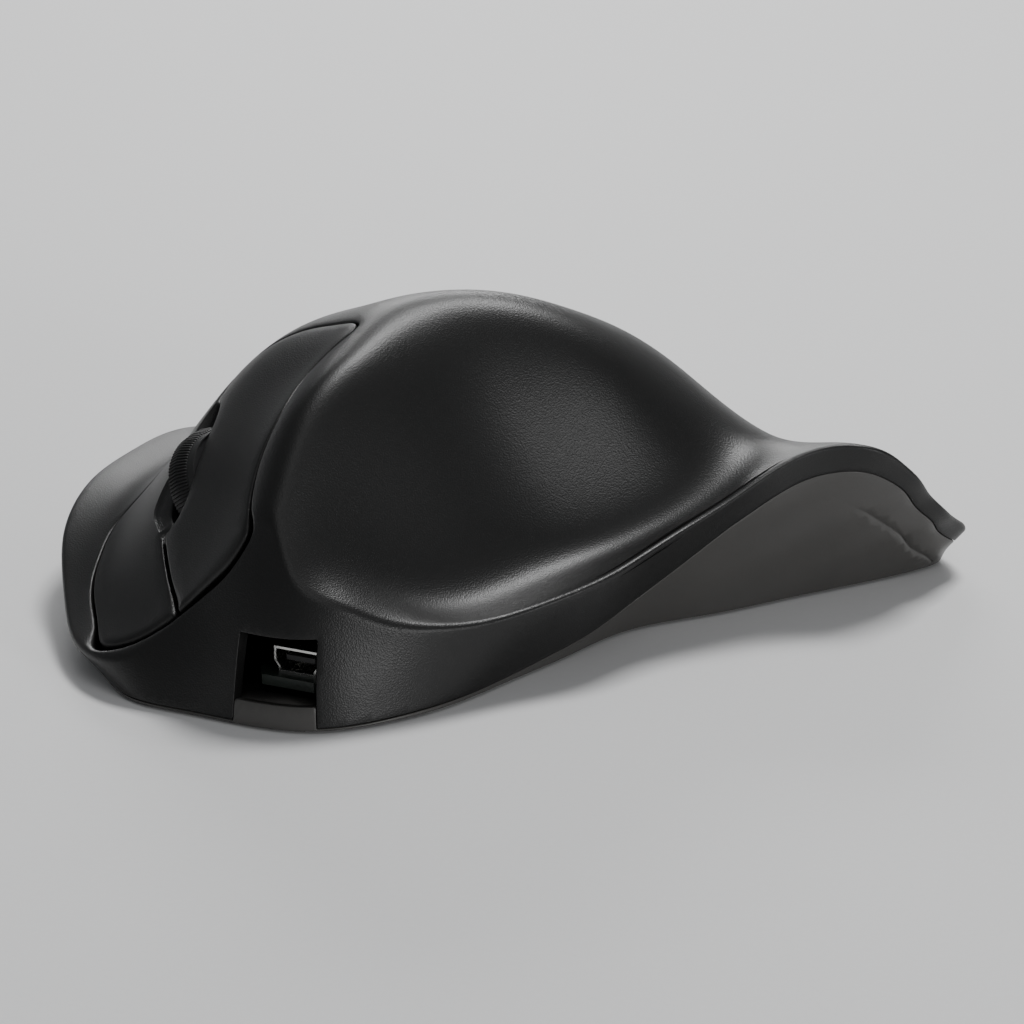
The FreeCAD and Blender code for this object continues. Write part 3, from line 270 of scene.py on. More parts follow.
def closed_curve(points, count):
    """Evenly spread points on the smooth closed curve through the given ones."""
    points = np.array(points, float)
    n = len(points)
    gap = np.linalg.norm(np.roll(points, -1, 0) - points, axis=1)
    slope = (np.roll(points, -1, 0) - points) / gap[:, None]
    matrix = np.zeros((n, n))
    for i in range(n):
        matrix[i, i - 1] += gap[i - 1]
        matrix[i, i] += 2 * (gap[i - 1] + gap[i])
        matrix[i, (i + 1) % n] += gap[i]
    bends = np.linalg.solve(matrix, 6 * (slope - np.roll(slope, 1, 0)))
    ends = np.concatenate([[0], np.cumsum(gap)])
    place = np.linspace(0, ends[-1], count, endpoint=False)
    i = np.clip(np.searchsorted(ends, place, side="right") - 1, 0, n - 1)
    part = ((place - ends[i]) / gap[i])[:, None]
    j = (i + 1) % n
    return between(gap[i][:, None], part, points[i], points[j], bends[i], bends[j])


def wall_station(station, z):
    """A point of the wall at one station, bulging most at half its height."""
    low_end, top_end, bulge = station
    part = (z - BASE_Z) / (top_end[2] - BASE_Z)
    swell = bulge * max(0.0, 4 * part * (1 - part)) if part < 1 else 0.0
    reach = math.hypot(*low_end)
    x = low_end[0] + (top_end[0] - low_end[0]) * part + low_end[0] / reach * swell
    y = low_end[1] + (top_end[1] - low_end[1]) * part + low_end[1] / reach * swell
    return x, y, z


rings = np.array([closed_curve([wall_station(s, z) for s in WALL], AROUND) for z in LEVELS])
ring_bends = bends_of(LEVELS[:, None, None], rings)


def wall_point(around, z):
    """The side wall at a place round the object (counted in rings' points) and a height."""
    first = np.floor(around).astype(int)
    part = (around - first)[:, None]
    i = np.clip(np.searchsorted(LEVELS, z) - 1, 0, len(LEVELS) - 2)
    gap = (LEVELS[i + 1] - LEVELS[i])[:, None]
    up = (z - LEVELS[i])[:, None] / gap
    found = 0
    for column, share in ((first % AROUND, 1 - part), ((first + 1) % AROUND, part)):
        found = found + share * between(gap, up, rings[i, column], rings[i + 1, column],
                                        ring_bends[i, column], ring_bends[i + 1, column])
    return found


def find_crest():
    """Where the side wall meets the top skin, all the way round."""
    everywhere = np.arange(AROUND, dtype=float)
    steps = np.arange(1.0, 45.0, CREST_STEP)
    over = np.array([wall_point(everywhere, np.full(AROUND, z)) for z in steps])
    skin = skin_height(over[..., 0].ravel(), over[..., 1].ravel())
    room = skin.reshape(over.shape[:2]) - steps[:, None]
    k = np.argmax(room < 0, axis=0)
    above, below = room[k, everywhere.astype(int)], room[k - 1, everywhere.astype(int)]
    z = steps[k - 1] + CREST_STEP * below / (below - above)
    return wall_point(everywhere, z)


crest = find_crest()
tangent = np.roll(crest, -2, 0) - np.roll(crest, 2, 0)
outward = np.stack([tangent[:, 1], -tangent[:, 0]], 1) / np.hypot(tangent[:, 0], tangent[:, 1])[:, None]
foot = wall_point(np.arange(AROUND, dtype=float), np.full(AROUND, BASE_Z))
wall_length = np.linalg.norm(crest - foot, axis=1)


def unit(vectors):
    return vectors / np.linalg.norm(vectors, axis=-1, keepdims=True)


def rim_reach():
    """How far the rounding of the rim reaches to each side of the crest."""
    down = unit(foot - crest)
    inner = crest[:, :2] - outward
    inner = np.column_stack([inner, skin_height(inner[:, 0], inner[:, 1])])
    turn = math.pi - np.arccos(np.clip((down * unit(inner - crest)).sum(1), -1, 1))
    turn = np.clip(turn, *RIM_TURN)
    radius = RIM_ROUND * (math.sin(math.pi / 4) / np.sin(turn / 2)) ** 1.5
    reach = np.clip(radius * np.tan(turn / 2), *RIM_REACH)
    side = RIM_EVENING // 2
    even = np.ones(RIM_EVENING) / RIM_EVENING
    return np.convolve(np.concatenate([reach[-side:], reach, reach[:side]]), even, "valid"), turn


reach_of_rim, rim_turn = rim_reach()


def smoothed_ring(table, spread):
    """A table round the crest, averaged with a bell-shaped weight."""
    reach = int(3 * spread)
    weight = np.exp(-0.5 * (np.arange(-reach, reach + 1) / spread) ** 2)
    padded = np.concatenate([table[-reach:], table, table[:reach]])
    weight = weight / weight.sum()
    return np.stack([np.convolve(padded[:, k], weight, "valid") for k in range(table.shape[1])], 1)


rays = unit(smoothed_ring(outward, RAY_SPREAD))


def to_crest(spots):
    """For spots of the flattened skin: place round the crest, and distance beyond it along its ray."""
    around, beyond = np.zeros(len(spots)), np.full(len(spots), FAR_AWAY)
    plan = crest[:, :2]
    for first in range(0, len(spots), BATCH):
        part = spots[first:first + BATCH, None] - plan
        miss = part[..., 0] * rays[:, 1] - part[..., 1] * rays[:, 0]
        along = (part * rays).sum(2)
        after = np.roll(miss, -1, 1)
        crossing = (miss <= 0) != (after <= 0)
        cost = np.where(crossing & (along > -12), np.abs(along), 999)
        i = cost.argmin(1)
        row = np.arange(len(i))
        share = miss[row, i] / (miss[row, i] - after[row, i] + 1e-12)
        found = cost[row, i] < 999
        j = (i + 1) % AROUND
        reach = along[row, i] * (1 - share) + along[row, j] * share
        around[first:first + BATCH] = np.where(found, i + share, 0)
        beyond[first:first + BATCH] = np.where(found, reach, FAR_AWAY)
    return around % AROUND, beyond


def ring_value(table, around):
    """A table with one row for each place round the crest, read between its rows."""
    first = np.floor(around).astype(int)
    part = around - first
    if table.ndim > 1:
        part = part[:, None]
    return table[first % AROUND] * (1 - part) + table[(first + 1) % AROUND] * part


def crest_lines(shares=(-1.0, -0.7, -0.42, -0.14, 0.14, 0.42, 0.7, 1.0)):
    """Closed lines along the rounded rim, for the faces to follow."""
    made = []
    for share in shares:
        line = crest[:, :2] + rays * (reach_of_rim * share)[:, None]
        made.append(np.vstack([line, line[:1]]))
    return made


def on_wall(around, down):
    """Points of the side wall, at a distance down from the crest."""
    top = ring_value(crest, around)[:, 2]
    z = top - down * (top - BASE_Z) / ring_value(wall_length, around)
    return wall_point(around, z)


def on_skin(x, y):
    return np.column_stack([x, y, skin_height(x, y)])


def outer(spots):
    """The outer surface over the flattened skin: top skin inside the crest, side wall beyond it."""
    spots = np.asarray(spots, float)
    around, beyond = to_crest(spots)
    reach = ring_value(reach_of_rim, around)
    found = on_skin(spots[:, 0], spots[:, 1])
    out = beyond >= reach
    if out.any():
        found[out] = on_wall(around[out], beyond[out])
    near = np.abs(beyond) < reach
    if near.any():
        around, beyond, reach = around[near], beyond[near], reach[near]
        corner = ring_value(crest, around)
        low = on_wall(around, reach)
        inner = corner[:, :2] - ring_value(rays, around) * reach[:, None]
        high = on_skin(inner[:, 0], inner[:, 1])
        turn = ring_value(rim_turn, around)
        handle = (4 / 3 * np.tan(turn / 4) / np.tan(turn / 2))[:, None]
        s = ((reach - beyond) / (2 * reach))[:, None]
        low_handle, high_handle = low + (corner - low) * handle, high + (corner - high) * handle
        found[near] = ((1 - s)**3 * low + 3 * s * (1 - s)**2 * low_handle
                       + 3 * s * s * (1 - s) * high_handle + s**3 * high)
    return found


def outer_normal(spots, step=0.06):
    spots = np.asarray(spots, float)
    x, y = np.array([step, 0]), np.array([0, step])
    return unit(np.cross(outer(spots + x) - outer(spots - x), outer(spots + y) - outer(spots - y)))


# The charging notch in the front wall, at two heights: its left and right edge.
PORT_LEFT, PORT_RIGHT, PORT_HEIGHTS = (-11.25, -11.6), (1.7, 0.4), (1.0, 13.6)
PORT_TOP, TAB_TOP, SHELL_GAP = 13.7, 4.1, 0.1


def parting_height(x, y):
    """Height of the parting line over the plan: far side's and thumb side's lines, blended."""
    start, end = PARTING_BLEND_X
    part = np.clip((x - start) / (end - start), 0, 1)
    part = part * part * (3 - 2 * part)
    y = np.clip(y, *PARTING_ENDS)
    return far_parting(y) * (1 - part) + thumb_parting(y) * part


far_parting = curve([y for y, z in PARTING_FAR], [z for y, z in PARTING_FAR])
thumb_parting = curve([y for y, z in PARTING_THUMB], [z for y, z in PARTING_THUMB])


def flat_spot(around, z):
    """The spot of the flattened skin for a place on the side wall."""
    top = ring_value(crest, around)
    down = (top[:, 2] - z) * ring_value(wall_length, around) / (top[:, 2] - BASE_Z)
    return top[:, :2] + ring_value(rays, around) * down[:, None]


def parting_places(lift=0.0):
    """Height of the parting line all the way round."""
    around = np.arange(AROUND, dtype=float)
    z = np.full(AROUND, 4.0)
    for _ in range(6):
        point = wall_point(around, z)
        z = parting_height(point[:, 0], point[:, 1]) + lift
    return around, z


def resample(points, step, closed=True):
    """The same outline with evenly spread points."""
    points = np.asarray(points, float)
    if closed:
        points = np.vstack([points, points[:1]])
    run = np.concatenate([[0], np.cumsum(np.linalg.norm(np.diff(points, axis=0), axis=1))])
    count = max(2, int(round(run[-1] / step)))
    place = np.linspace(0, run[-1], count + 1)
    made = np.column_stack([np.interp(place, run, points[:, k]) for k in range(points.shape[1])])
    return made[:-1] if closed else made


def inside(spots, outline):
    """Which spots lie inside a closed outline."""
    x, y = spots[:, 0], spots[:, 1]
    found = np.zeros(len(spots), bool)
    for (ax, ay), (bx, by) in zip(outline, np.roll(outline, -1, 0)):
        cross = (ay > y) != (by > y)
        if cross.any():
            at = ax + (y[cross] - ay) * (bx - ax) / (by - ay)
            found[cross] ^= x[cross] < at
    return found


def distance_to(spots, outline):
    """Shortest distance from each spot to a closed outline."""
    a, b = outline, np.roll(outline, -1, 0)
    run = b - a
    square = (run * run).sum(1)
    best = np.full(len(spots), 1e9)
    for start in range(0, len(spots), BATCH):
        q = spots[start:start + BATCH]
        s = np.clip(((q[:, None] - a) * run).sum(2) / square, 0, 1)
        best[start:start + BATCH] = np.linalg.norm(q[:, None] - a - run * s[..., None], axis=2).min(1)
    return best


def nearest(spots, line):
    """Distance from each spot to the nearest point of a line."""
    return np.concatenate([np.linalg.norm(spots[k:k + BATCH, None] - line, axis=2).min(1)
                           for k in range(0, len(spots), BATCH)])


def offset_outline(outline, amount):
    """A closed outline moved to its left, which is inwards where it runs counterclockwise."""
    run = np.roll(outline, -1, 0) - np.roll(outline, 1, 0)
    return outline + unit(np.column_stack([-run[:, 1], run[:, 0]])) * amount


def region_loops(outlines, keep, smallest=2.0):
    """Borders of the region that keep() picks among closed outlines, each with the region on its left."""
    spots, edges = [], []
    for outline in outlines:
        edges += [(len(spots) + i, len(spots) + (i + 1) % len(outline)) for i in range(len(outline))]
        spots += [Vector(spot) for spot in outline]
    made = geometry.delaunay_2d_cdt(spots, edges, [], 0, 1e-5)
    flat, triangles = np.array([tuple(v) for v in made[0]]), np.array(made[2])
    triangles = triangles[keep(flat[triangles].mean(1))]
    sides = {(int(t[k]), int(t[(k + 1) % 3])) for t in triangles for k in range(3)}
    following = {}
    for i, j in sides:
        if (j, i) not in sides:
            following.setdefault(i, []).append(j)
    loops = []
    while following:
        start = next(iter(following))
        loop, here = [start], following[start].pop()
        while here != start:
            loop.append(here)
            here = following[here].pop()
        following = {i: ends for i, ends in following.items() if ends}
        loop = flat[loop]
        area = 0.5 * np.sum(loop[:, 0] * np.roll(loop[:, 1], -1) - loop[:, 1] * np.roll(loop[:, 0], -1))
        if abs(area) > smallest:
            loops.append((area, loop))
    return [loop for area, loop in sorted(loops, key=lambda item: -item[0])]


# Spacing along borders, rows of points across a rounded lip, room kept from borders by the lines that
# faces follow; then, as shares of the spacing, the height of a row of equal-sided triangles and the
# room that the inner points keep from such lines and from borders.
EDGE_STEP, LIP_ROWS, LINE_ROOM = 0.45, (0.12, 0.4, 1.0), 0.12
ROW_HEIGHT, BESIDE_LINE, BESIDE_BORDER = 0.866, 0.36, 0.4


def skin_piece(name, loops, spacing, lip, thickness, sink=None, lines=()):
    """A closed mesh of skin: outer face, inner face and the edges between, with rounded lips.
    lip gives the rounding radius along the border, sink a depth of the outer face, and lines are
    spots that the faces follow."""
    loops = [resample(loop, EDGE_STEP) for loop in loops]
    lips = [lip(loop) for loop in loops]
    spots, edges, depth = [], [], []
    for loop, radius in zip(loops, lips):
        first = sum(map(len, spots))
        edges += [(first + i, first + (i + 1) % len(loop)) for i in range(len(loop))]
        spots.append(loop)
        depth.append(radius)
    for loop, radius in zip(loops, lips):
        for share in LIP_ROWS:
            inner = offset_outline(loop, (radius * share)[:, None])
            near = np.min([distance_to(inner, other) for other in loops], axis=0)
            keep = near > radius * share * 0.92
            spots.append(inner[keep])
            depth.append((radius - np.sqrt(radius ** 2 - (radius * (1 - share)) ** 2))[keep])

    def clear(points, room):
        """Which points lie in the region, at least their room away from its border."""
        found = inside(points, loops[0])
        for loop in loops[1:]:
            found &= ~inside(points, loop)
        for loop, radius in zip(loops, lips):
            found[found] = distance_to(points[found], loop) > radius.max() + room
        return found

    for line in lines:
        keep = clear(line, LINE_ROOM)
        first = sum(map(len, spots))
        place = np.cumsum(keep) - 1
        edges += [(first + place[i], first + place[i + 1])
                  for i in range(len(line) - 1) if keep[i] and keep[i + 1]]
        spots.append(line[keep])
        depth.append(np.zeros(int(keep.sum())))
    (x0, y0), (x1, y1) = loops[0].min(0), loops[0].max(0)
    rows = []
    for j, y in enumerate(np.arange(y0, y1, spacing * ROW_HEIGHT)):
        row = np.arange(x0 + (j % 2) * spacing / 2, x1, spacing)
        rows.append(np.column_stack([row, np.full(len(row), y)]))
    grid = np.vstack(rows)
    grid = grid[clear(grid, spacing * BESIDE_BORDER)]
    for line in lines:
        grid = grid[nearest(grid, line) > spacing * BESIDE_LINE]
    spots.append(grid)
    depth.append(np.zeros(len(grid)))
    spots, depth = np.vstack(spots), np.concatenate(depth)
    made = geometry.delaunay_2d_cdt([Vector(spot) for spot in spots], edges, [], 0, 1e-6)
    flat = np.array([tuple(v) for v in made[0]])
    depth = np.array([depth[ids[0]] if ids else 0.0 for ids in made[3]])
    triangles = np.array(made[2])
    middle = flat[triangles].mean(1)
    keep = inside(middle, loops[0])
    for loop in loops[1:]:
        keep &= ~inside(middle, loop)
    triangles = triangles[keep]
    place, up = outer(flat), outer_normal(flat)
    if sink:
        place = place - up * sink(flat)[:, None]
    top = place - up * depth[:, None]
    bottom = place - up * thickness(flat)[:, None]
    count = len(flat)
    sides = {(int(t[k]), int(t[(k + 1) % 3])) for t in triangles for k in range(3)}
    faces = [tuple(map(int, t)) for t in triangles]
    faces += [tuple(int(i) + count for i in t[::-1]) for t in triangles]
    faces += [(j, i, i + count, j + count) for i, j in sorted(sides) if (j, i) not in sides]
    mesh = bpy.data.meshes.new(name)
    mesh.from_pydata((np.vstack([top, bottom]) * MM).tolist(), [], faces)
    mesh.validate()
    return mesh


def joined(name, *meshes):
    """One object from several meshes, smooth but for its sharp edges."""
    whole = bmesh.new()
    for mesh in meshes:
        whole.from_mesh(mesh)
    loose = [vert for vert in whole.verts if not vert.link_faces]
    bmesh.ops.delete(whole, geom=loose, context="VERTS")
    made = bpy.data.meshes.new(name)
    whole.to_mesh(made)
    whole.free()
    made.shade_smooth()
    made.set_sharp_from_angle(angle=math.radians(42))
    return add_object(name, made)


def grained_finish(name, colour, rough, grain_size, grain_depth, gloss=0.5, **more):
    """A finish with its own grain (in mm), faint clouds and polished spots, for plastic, metal and rubber."""
    made, surface, add, link = node_material(name)
    where = add("ShaderNodeTexCoord").outputs["Object"]
    cells = add("ShaderNodeTexVoronoi", feature="SMOOTH_F1", Scale=1000 / grain_size)
    fine = add("ShaderNodeTexNoise", Scale=1250 / grain_size, Detail=2.0, Roughness=0.55)
    cloud = add("ShaderNodeTexNoise", Scale=90.0, Detail=4.0, Roughness=0.55)
    for texture in (cells, fine, cloud):
        link(where, texture.inputs["Vector"])
    tone = add("ShaderNodeMapRange", **{"To Min": 0.9, "To Max": 1.12})
    link(cloud.outputs["Fac"], tone.inputs["Value"])
    base = add("ShaderNodeVectorMath", operation="SCALE")
    base.inputs[0].default_value = colour
    link(tone.outputs["Result"], base.inputs["Scale"])
    link(base.outputs["Vector"], surface.inputs["Base Color"])
    dull = add("ShaderNodeMapRange", **{"To Min": rough - 0.06, "To Max": rough + 0.07})
    link(fine.outputs["Fac"], dull.inputs["Value"])
    link(dull.outputs["Result"], surface.inputs["Roughness"])
    height = add("ShaderNodeMath", operation="MULTIPLY_ADD")
    link(fine.outputs["Fac"], height.inputs[0])
    height.inputs[1].default_value = 0.35
    link(cells.outputs["Distance"], height.inputs[2])
    bump = add("ShaderNodeBump", Strength=grain_depth, Distance=0.00009)
    link(height.outputs["Value"], bump.inputs["Height"])
    link(bump.outputs["Normal"], surface.inputs["Normal"])
    surface.inputs["Specular IOR Level"].default_value = gloss
    for socket, value in more.items():
        surface.inputs[socket].default_value = value
    return made


def dress(piece, body, slot, material, *replaced):
    """Rides a piece on its body and gives it its material; its slot is not used."""
    piece.data.materials.clear()
    piece.data.materials.append(material)
    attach(piece, body)
    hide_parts(*replaced)


def finish_nodes(material, *names):
    """Gives CAD nodes their material."""
    for name in names:
        for place in nodes[name].material_slots:
            place.material = material


def around_at(x, z):
    """Place round the object where the front wall has this x at this height."""
    places = np.arange(-20.0, 110.0, 0.5)
    return float(np.interp(x, wall_point(places % AROUND, np.full(len(places), z))[:, 0], places))


def port_side(edge, heights, shift=0.0):
    """Spots along one slanting side of the charging notch."""
    made = []
    for z in heights:
        x = float(np.interp(z, PORT_HEIGHTS, edge)) + shift
        made.append(flat_spot(np.array([around_at(x, z) % AROUND]), np.array([z]))[0])
    return np.array(made)


# Height where the notch's sides meet the parting line, and places left free beside them.
NOTCH_FOOT, NOTCH_ROOM = 1.2, 0.6


def edge_line(top, drop, shift):
    """The parting line with its step over the notch: a shell's edge, from there all the way round."""
    around, height = parting_places(drop)
    start, end = around_at(PORT_LEFT[0] + shift, NOTCH_FOOT), around_at(PORT_RIGHT[0] - shift, NOTCH_FOOT)
    past = around > end + NOTCH_ROOM
    if start < 0:
        past &= around < start % AROUND - NOTCH_ROOM
    rest = around[past]
    if start > 0:
        rest = np.concatenate([rest, around[around < start - NOTCH_ROOM]])
    seam = flat_spot(rest, height[rest.astype(int)])
    low_left, low_right = height[int(start) % AROUND], height[int(end) % AROUND]
    left_top, right_top = (around_at(float(np.interp(top, PORT_HEIGHTS, edge)) + move, top)
                           for edge, move in ((PORT_LEFT, shift), (PORT_RIGHT, -shift)))
    across = np.linspace(left_top, right_top, 40)[1:-1]
    return np.vstack([seam, port_side(PORT_LEFT, np.linspace(low_left, top, 26), shift),
                      flat_spot(across % AROUND, np.full(len(across), top)),
                      port_side(PORT_RIGHT, np.linspace(top, low_right, 26), -shift)])


satin_grey = grained_finish("satin_grey", (0.06, 0.058, 0.055), 0.36, 0.5, 0.1)
foot_edge = flat_spot(np.arange(AROUND, dtype=float), np.full(AROUND, BASE_Z + 0.08))
lower_edge = edge_line(TAB_TOP, -SHELL_GAP, SHELL_GAP)

# The fold in the lower wall under the flange: places along y, and heights.
FOLD = [(24.6, 16.2), (28.9, 13.0), (34.7, 8.2), (38.1, 5.0), (43.4, 1.6)]
FOLD_DEPTH, FOLD_WIDTH = 0.42, 0.2
under_flange = np.arange(240.0, 430.0, 0.5)


def under_flange_at(y, z):
    """Place round the object where the wall under the flange has this y at this height."""
    return np.interp(y, wall_point(under_flange, np.full(len(under_flange), z))[:, 1], under_flange)


fold_height = np.linspace(0, len(FOLD) - 1, 120)
fold_y, fold_z = (curve(range(len(FOLD)), [spot[k] for spot in FOLD])(fold_height) for k in (0, 1))
fold_places = np.array([[under_flange_at(y, z) for y, z in zip(fold_y, fold_z)], fold_z])
fold = flat_spot(fold_places[0], fold_places[1])
fold_side = unit(np.gradient(fold, axis=0))
fold_side = np.column_stack([-fold_side[:, 1], fold_side[:, 0]])
fold_lines = [fold + fold_side * shift for shift in (-FOLD_WIDTH, 0.0, FOLD_WIDTH)]


def fold_sink(spots):
    """A fine groove that grows towards the tip."""
    apart = np.linalg.norm(spots[:, None] - fold[None], axis=2)
    nearest = apart.argmin(1)
    grow = np.clip(nearest / 60, 0, 1)
    return FOLD_DEPTH * grow * np.clip(1 - apart.min(1) / (FOLD_WIDTH * 0.9), 0, 1)


SHARP_LIP, LOWER_WALL, LOWER_SPACING = 0.14, 1.7, 1.2
lower_loops = region_loops([foot_edge, lower_edge], lambda p: inside(p, foot_edge) & ~inside(p, lower_edge))
lower_skin = skin_piece("lower_skin", lower_loops, LOWER_SPACING, lambda p: np.full(len(p), SHARP_LIP),
                        lambda p: np.full(len(p), LOWER_WALL), fold_sink, fold_lines)

# The tray's own wall moves in by TRAY_INSET where it lies on the hand form, so the skin covers it.
TRAY_INSET, ON_THE_WALL, WALL_TOP = 0.5, 0.15, 26
levels = np.linspace(BASE_Z, WALL_TOP, 50)
columns = np.arange(0, AROUND, 2.0)
wall_points = [wall_point(columns, np.full(len(columns), z)) * MM for z in levels]
wide = len(columns)
wall_faces = [(k * wide + i, k * wide + (i + 1) % wide, (k + 1) * wide + (i + 1) % wide, (k + 1) * wide + i)
              for k in range(len(levels) - 1) for i in range(wide)]
wall_tree = BVHTree.FromPolygons([Vector(point) for row in wall_points for point in row], wall_faces)
tray = bmesh.new()
tray.from_mesh(nodes["bottom_shell"].data)
bmesh.ops.remove_doubles(tray, verts=tray.verts, dist=2e-6)
for vert in tray.verts:
    if vert.co.z > (BASE_Z + 0.1) * MM:
        hit, way, _, miss = wall_tree.find_nearest(vert.co)
        if miss < ON_THE_WALL * MM:
            flat_way = Vector((hit.x, hit.y, 0)).normalized()
            way = way if way.dot(flat_way) > 0 else -way
            vert.co -= way * TRAY_INSET * MM
tray_mesh = bpy.data.meshes.new("tray")
tray.to_mesh(tray_mesh)
tray.free()
lower_shell = joined("lower_shell", lower_skin, tray_mesh)
dress(lower_shell, "case", "satin_grey", satin_grey, "bottom_shell")

# Underside fittings. Four slippery glide pads are stuck to the floor, the screws pass up into the
# bosses of the upper shell, and the sensor's clear lens looks out beside the power switch's knob.
glide = grained_finish("glide", (0.04, 0.04, 0.042), 0.35, 0.4, 0.2)
steel = grained_finish("steel", (0.5, 0.5, 0.52), 0.3, 0.4, 0.2, Metallic=1.0)
lens_clear = grained_finish("lens", (0.8, 0.8, 0.82), 0.08, 0.6, 0.03, **{"Transmission Weight": 0.85})
inner_plastic = grained_finish("inner_plastic", (0.02, 0.02, 0.021), 0.4, 0.5, 0.25)
finish_nodes(glide, "glide_feet")
finish_nodes(steel, "case_screws", "board_screws", "bracket_screws")
finish_nodes(lens_clear, "sensor_lens", "sensor_led")
finish_nodes(inner_plastic, "power_switch_knob", "optical_sensor")

# Main board. Glass fibre with a black solder mask; the nickel-plated socket for the charging lead
# stands on its front edge, behind the notch, and the radio and the power switch are soldered on.
board_mask = grained_finish("board", (0.016, 0.022, 0.018), 0.35, 0.5, 0.3)
socket_metal = grained_finish("socket_metal", (0.6, 0.6, 0.58), 0.25, 0.3, 0.15, Metallic=1.0)
finish_nodes(board_mask, "main_board", "button_board")
finish_nodes(socket_metal, "usb_shell", "power_switch_body", "radio_module")
finish_nodes(inner_plastic, "usb_tongue")

# Battery. A rechargeable cell in a plain blue sleeve lies in a black tray between sprung contacts.
sleeve = grained_finish("battery_sleeve", (0.06, 0.12, 0.3), 0.22, 0.9, 0.1)
finish_nodes(sleeve, "battery")
finish_nodes(inner_plastic, "battery_tray")
finish_nodes(socket_metal, "battery_contacts")

# Switches. Snap switches for the buttons and a small square one under the wheel, all with
# off-white plungers, stand on the board of the button bracket; both buttons share one steel pin.
plunger_white = grained_finish("plunger", (0.6, 0.6, 0.56), 0.35, 0.5, 0.15)
finish_nodes(inner_plastic, "button_bracket", "left_switch_body", "right_switch_body", "wheel_switch_body")
finish_nodes(plunger_white, "left_switch_plunger", "right_switch_plunger", "wheel_switch_plunger",
             "wheel_cradle")
finish_nodes(steel, "button_hinge_pin", "cradle_pin", "wheel_axle")
finish_nodes(inner_plastic, "wheel_hub")

# Wheel tyre. Soft black rubber pressed over the hub: a flat ribbed band, a ribbed shoulder that
# slopes to the thumb side, and a smooth flank. One rib is modelled and set round the tyre.

# FINGER holds the finger's own frame: its origin, then its directions across, back and up.
FINGER = np.array([(-34.5, -31.5, 29.08), (0.780676, -0.238285, 0.577724),
                   (-0.1195, 0.8505, 0.5123), (-0.6134, -0.468982, 0.63545)])
FINGER[2] = np.cross(FINGER[3], FINGER[1])
AXLE_DEPTH, RIBS, STEPS = 8.0, 110, 220
RIB_FOOT, RIB_HALF_FOOT, RIB_HALF_TOP, FIRST_TURN = 0.42, 0.2, 0.1, 0.01
# Outlines across the tyre and along the top of a rib: place across, and radius.
TYRE = [(-2.68, 8.42), (-2.68, 9.35), (-2.45, 9.7), (-0.34, 9.7), (1.12, 8.92), (1.35, 8.86),
        (2.45, 8.72), (2.68, 8.6), (2.68, 8.42)]
RIB_LINE = [(-2.52, 9.66), (-2.3, 9.96), (-0.44, 10.0), (-0.26, 9.95), (1.04, 9.22), (1.24, 8.98)]


def from_finger(points):
    """Points of the finger's own frame (across, back, up) in the frame of the whole mouse."""
    return FINGER[0] + np.asarray(points, float) @ FINGER[1:]


turned = np.linspace(0, 2 * np.pi, STEPS, endpoint=False)
points = [(a, r * math.cos(t), r * math.sin(t)) for t in turned for a, r in TYRE]
ring_faces = []
for i in range(STEPS):
    here, after = i * len(TYRE), (i + 1) % STEPS * len(TYRE)
    for k in range(len(TYRE)):
        beside = (k + 1) % len(TYRE)
        ring_faces.append((here + k, here + beside, after + beside, after + k))
tyre_body = bpy.data.meshes.new("tyre_body")
tyre_body.from_pydata(points, [], ring_faces)
rib_points, rib_faces = [], []
for a, r in RIB_LINE:
    rib_points += [(a, -RIB_HALF_FOOT, r - RIB_FOOT), (a, -RIB_HALF_TOP, r),
                   (a, RIB_HALF_TOP, r), (a, RIB_HALF_FOOT, r - RIB_FOOT)]
for i in range(len(RIB_LINE) - 1):
    for k in range(4):
        rib_faces.append((4 * i + k, 4 * i + (k + 1) % 4, 4 * i + 4 + (k + 1) % 4, 4 * i + 4 + k))
rib_faces += [(3, 2, 1, 0), tuple(4 * len(RIB_LINE) - 4 + k for k in range(4))]
rib_mesh = bpy.data.meshes.new("tyre_rib")
rib_mesh.from_pydata(rib_points, [], rib_faces)
rib = add_object("tyre_rib", rib_mesh)
rubber = grained_finish("rubber", (0.02, 0.02, 0.02), 0.5, 0.3, 0.3, 0.4)

tree = bpy.data.node_groups.new("ribs_round_the_tyre", "GeometryNodeTree")
tree.is_modifier = True
tree.interface.new_socket("Geometry", in_out="INPUT", socket_type="NodeSocketGeometry")
count_socket = tree.interface.new_socket("Rib count", in_out="INPUT", socket_type="NodeSocketInt")
start_socket = tree.interface.new_socket("First turn", in_out="INPUT", socket_type="NodeSocketFloat")
tree.interface.new_socket("Geometry", in_out="OUTPUT", socket_type="NodeSocketGeometry")
given, result = tree.nodes.new("NodeGroupInput"), tree.nodes.new("NodeGroupOutput")
row = tree.nodes.new("GeometryNodeMeshLine")
row.inputs["Offset"].default_value = (0, 0, 0)
index = tree.nodes.new("GeometryNodeInputIndex")
pitch = tree.nodes.new("ShaderNodeMath")
pitch.operation = "DIVIDE"
pitch.inputs[0].default_value = 2 * math.pi
turn = tree.nodes.new("ShaderNodeMath")
turn.operation = "MULTIPLY_ADD"
angles = tree.nodes.new("ShaderNodeCombineXYZ")
rotation = tree.nodes.new("FunctionNodeEulerToRotation")
spread = tree.nodes.new("GeometryNodeInstanceOnPoints")
real = tree.nodes.new("GeometryNodeRealizeInstances")
painted = tree.nodes.new("GeometryNodeSetMaterial")
painted.inputs["Material"].default_value = rubber
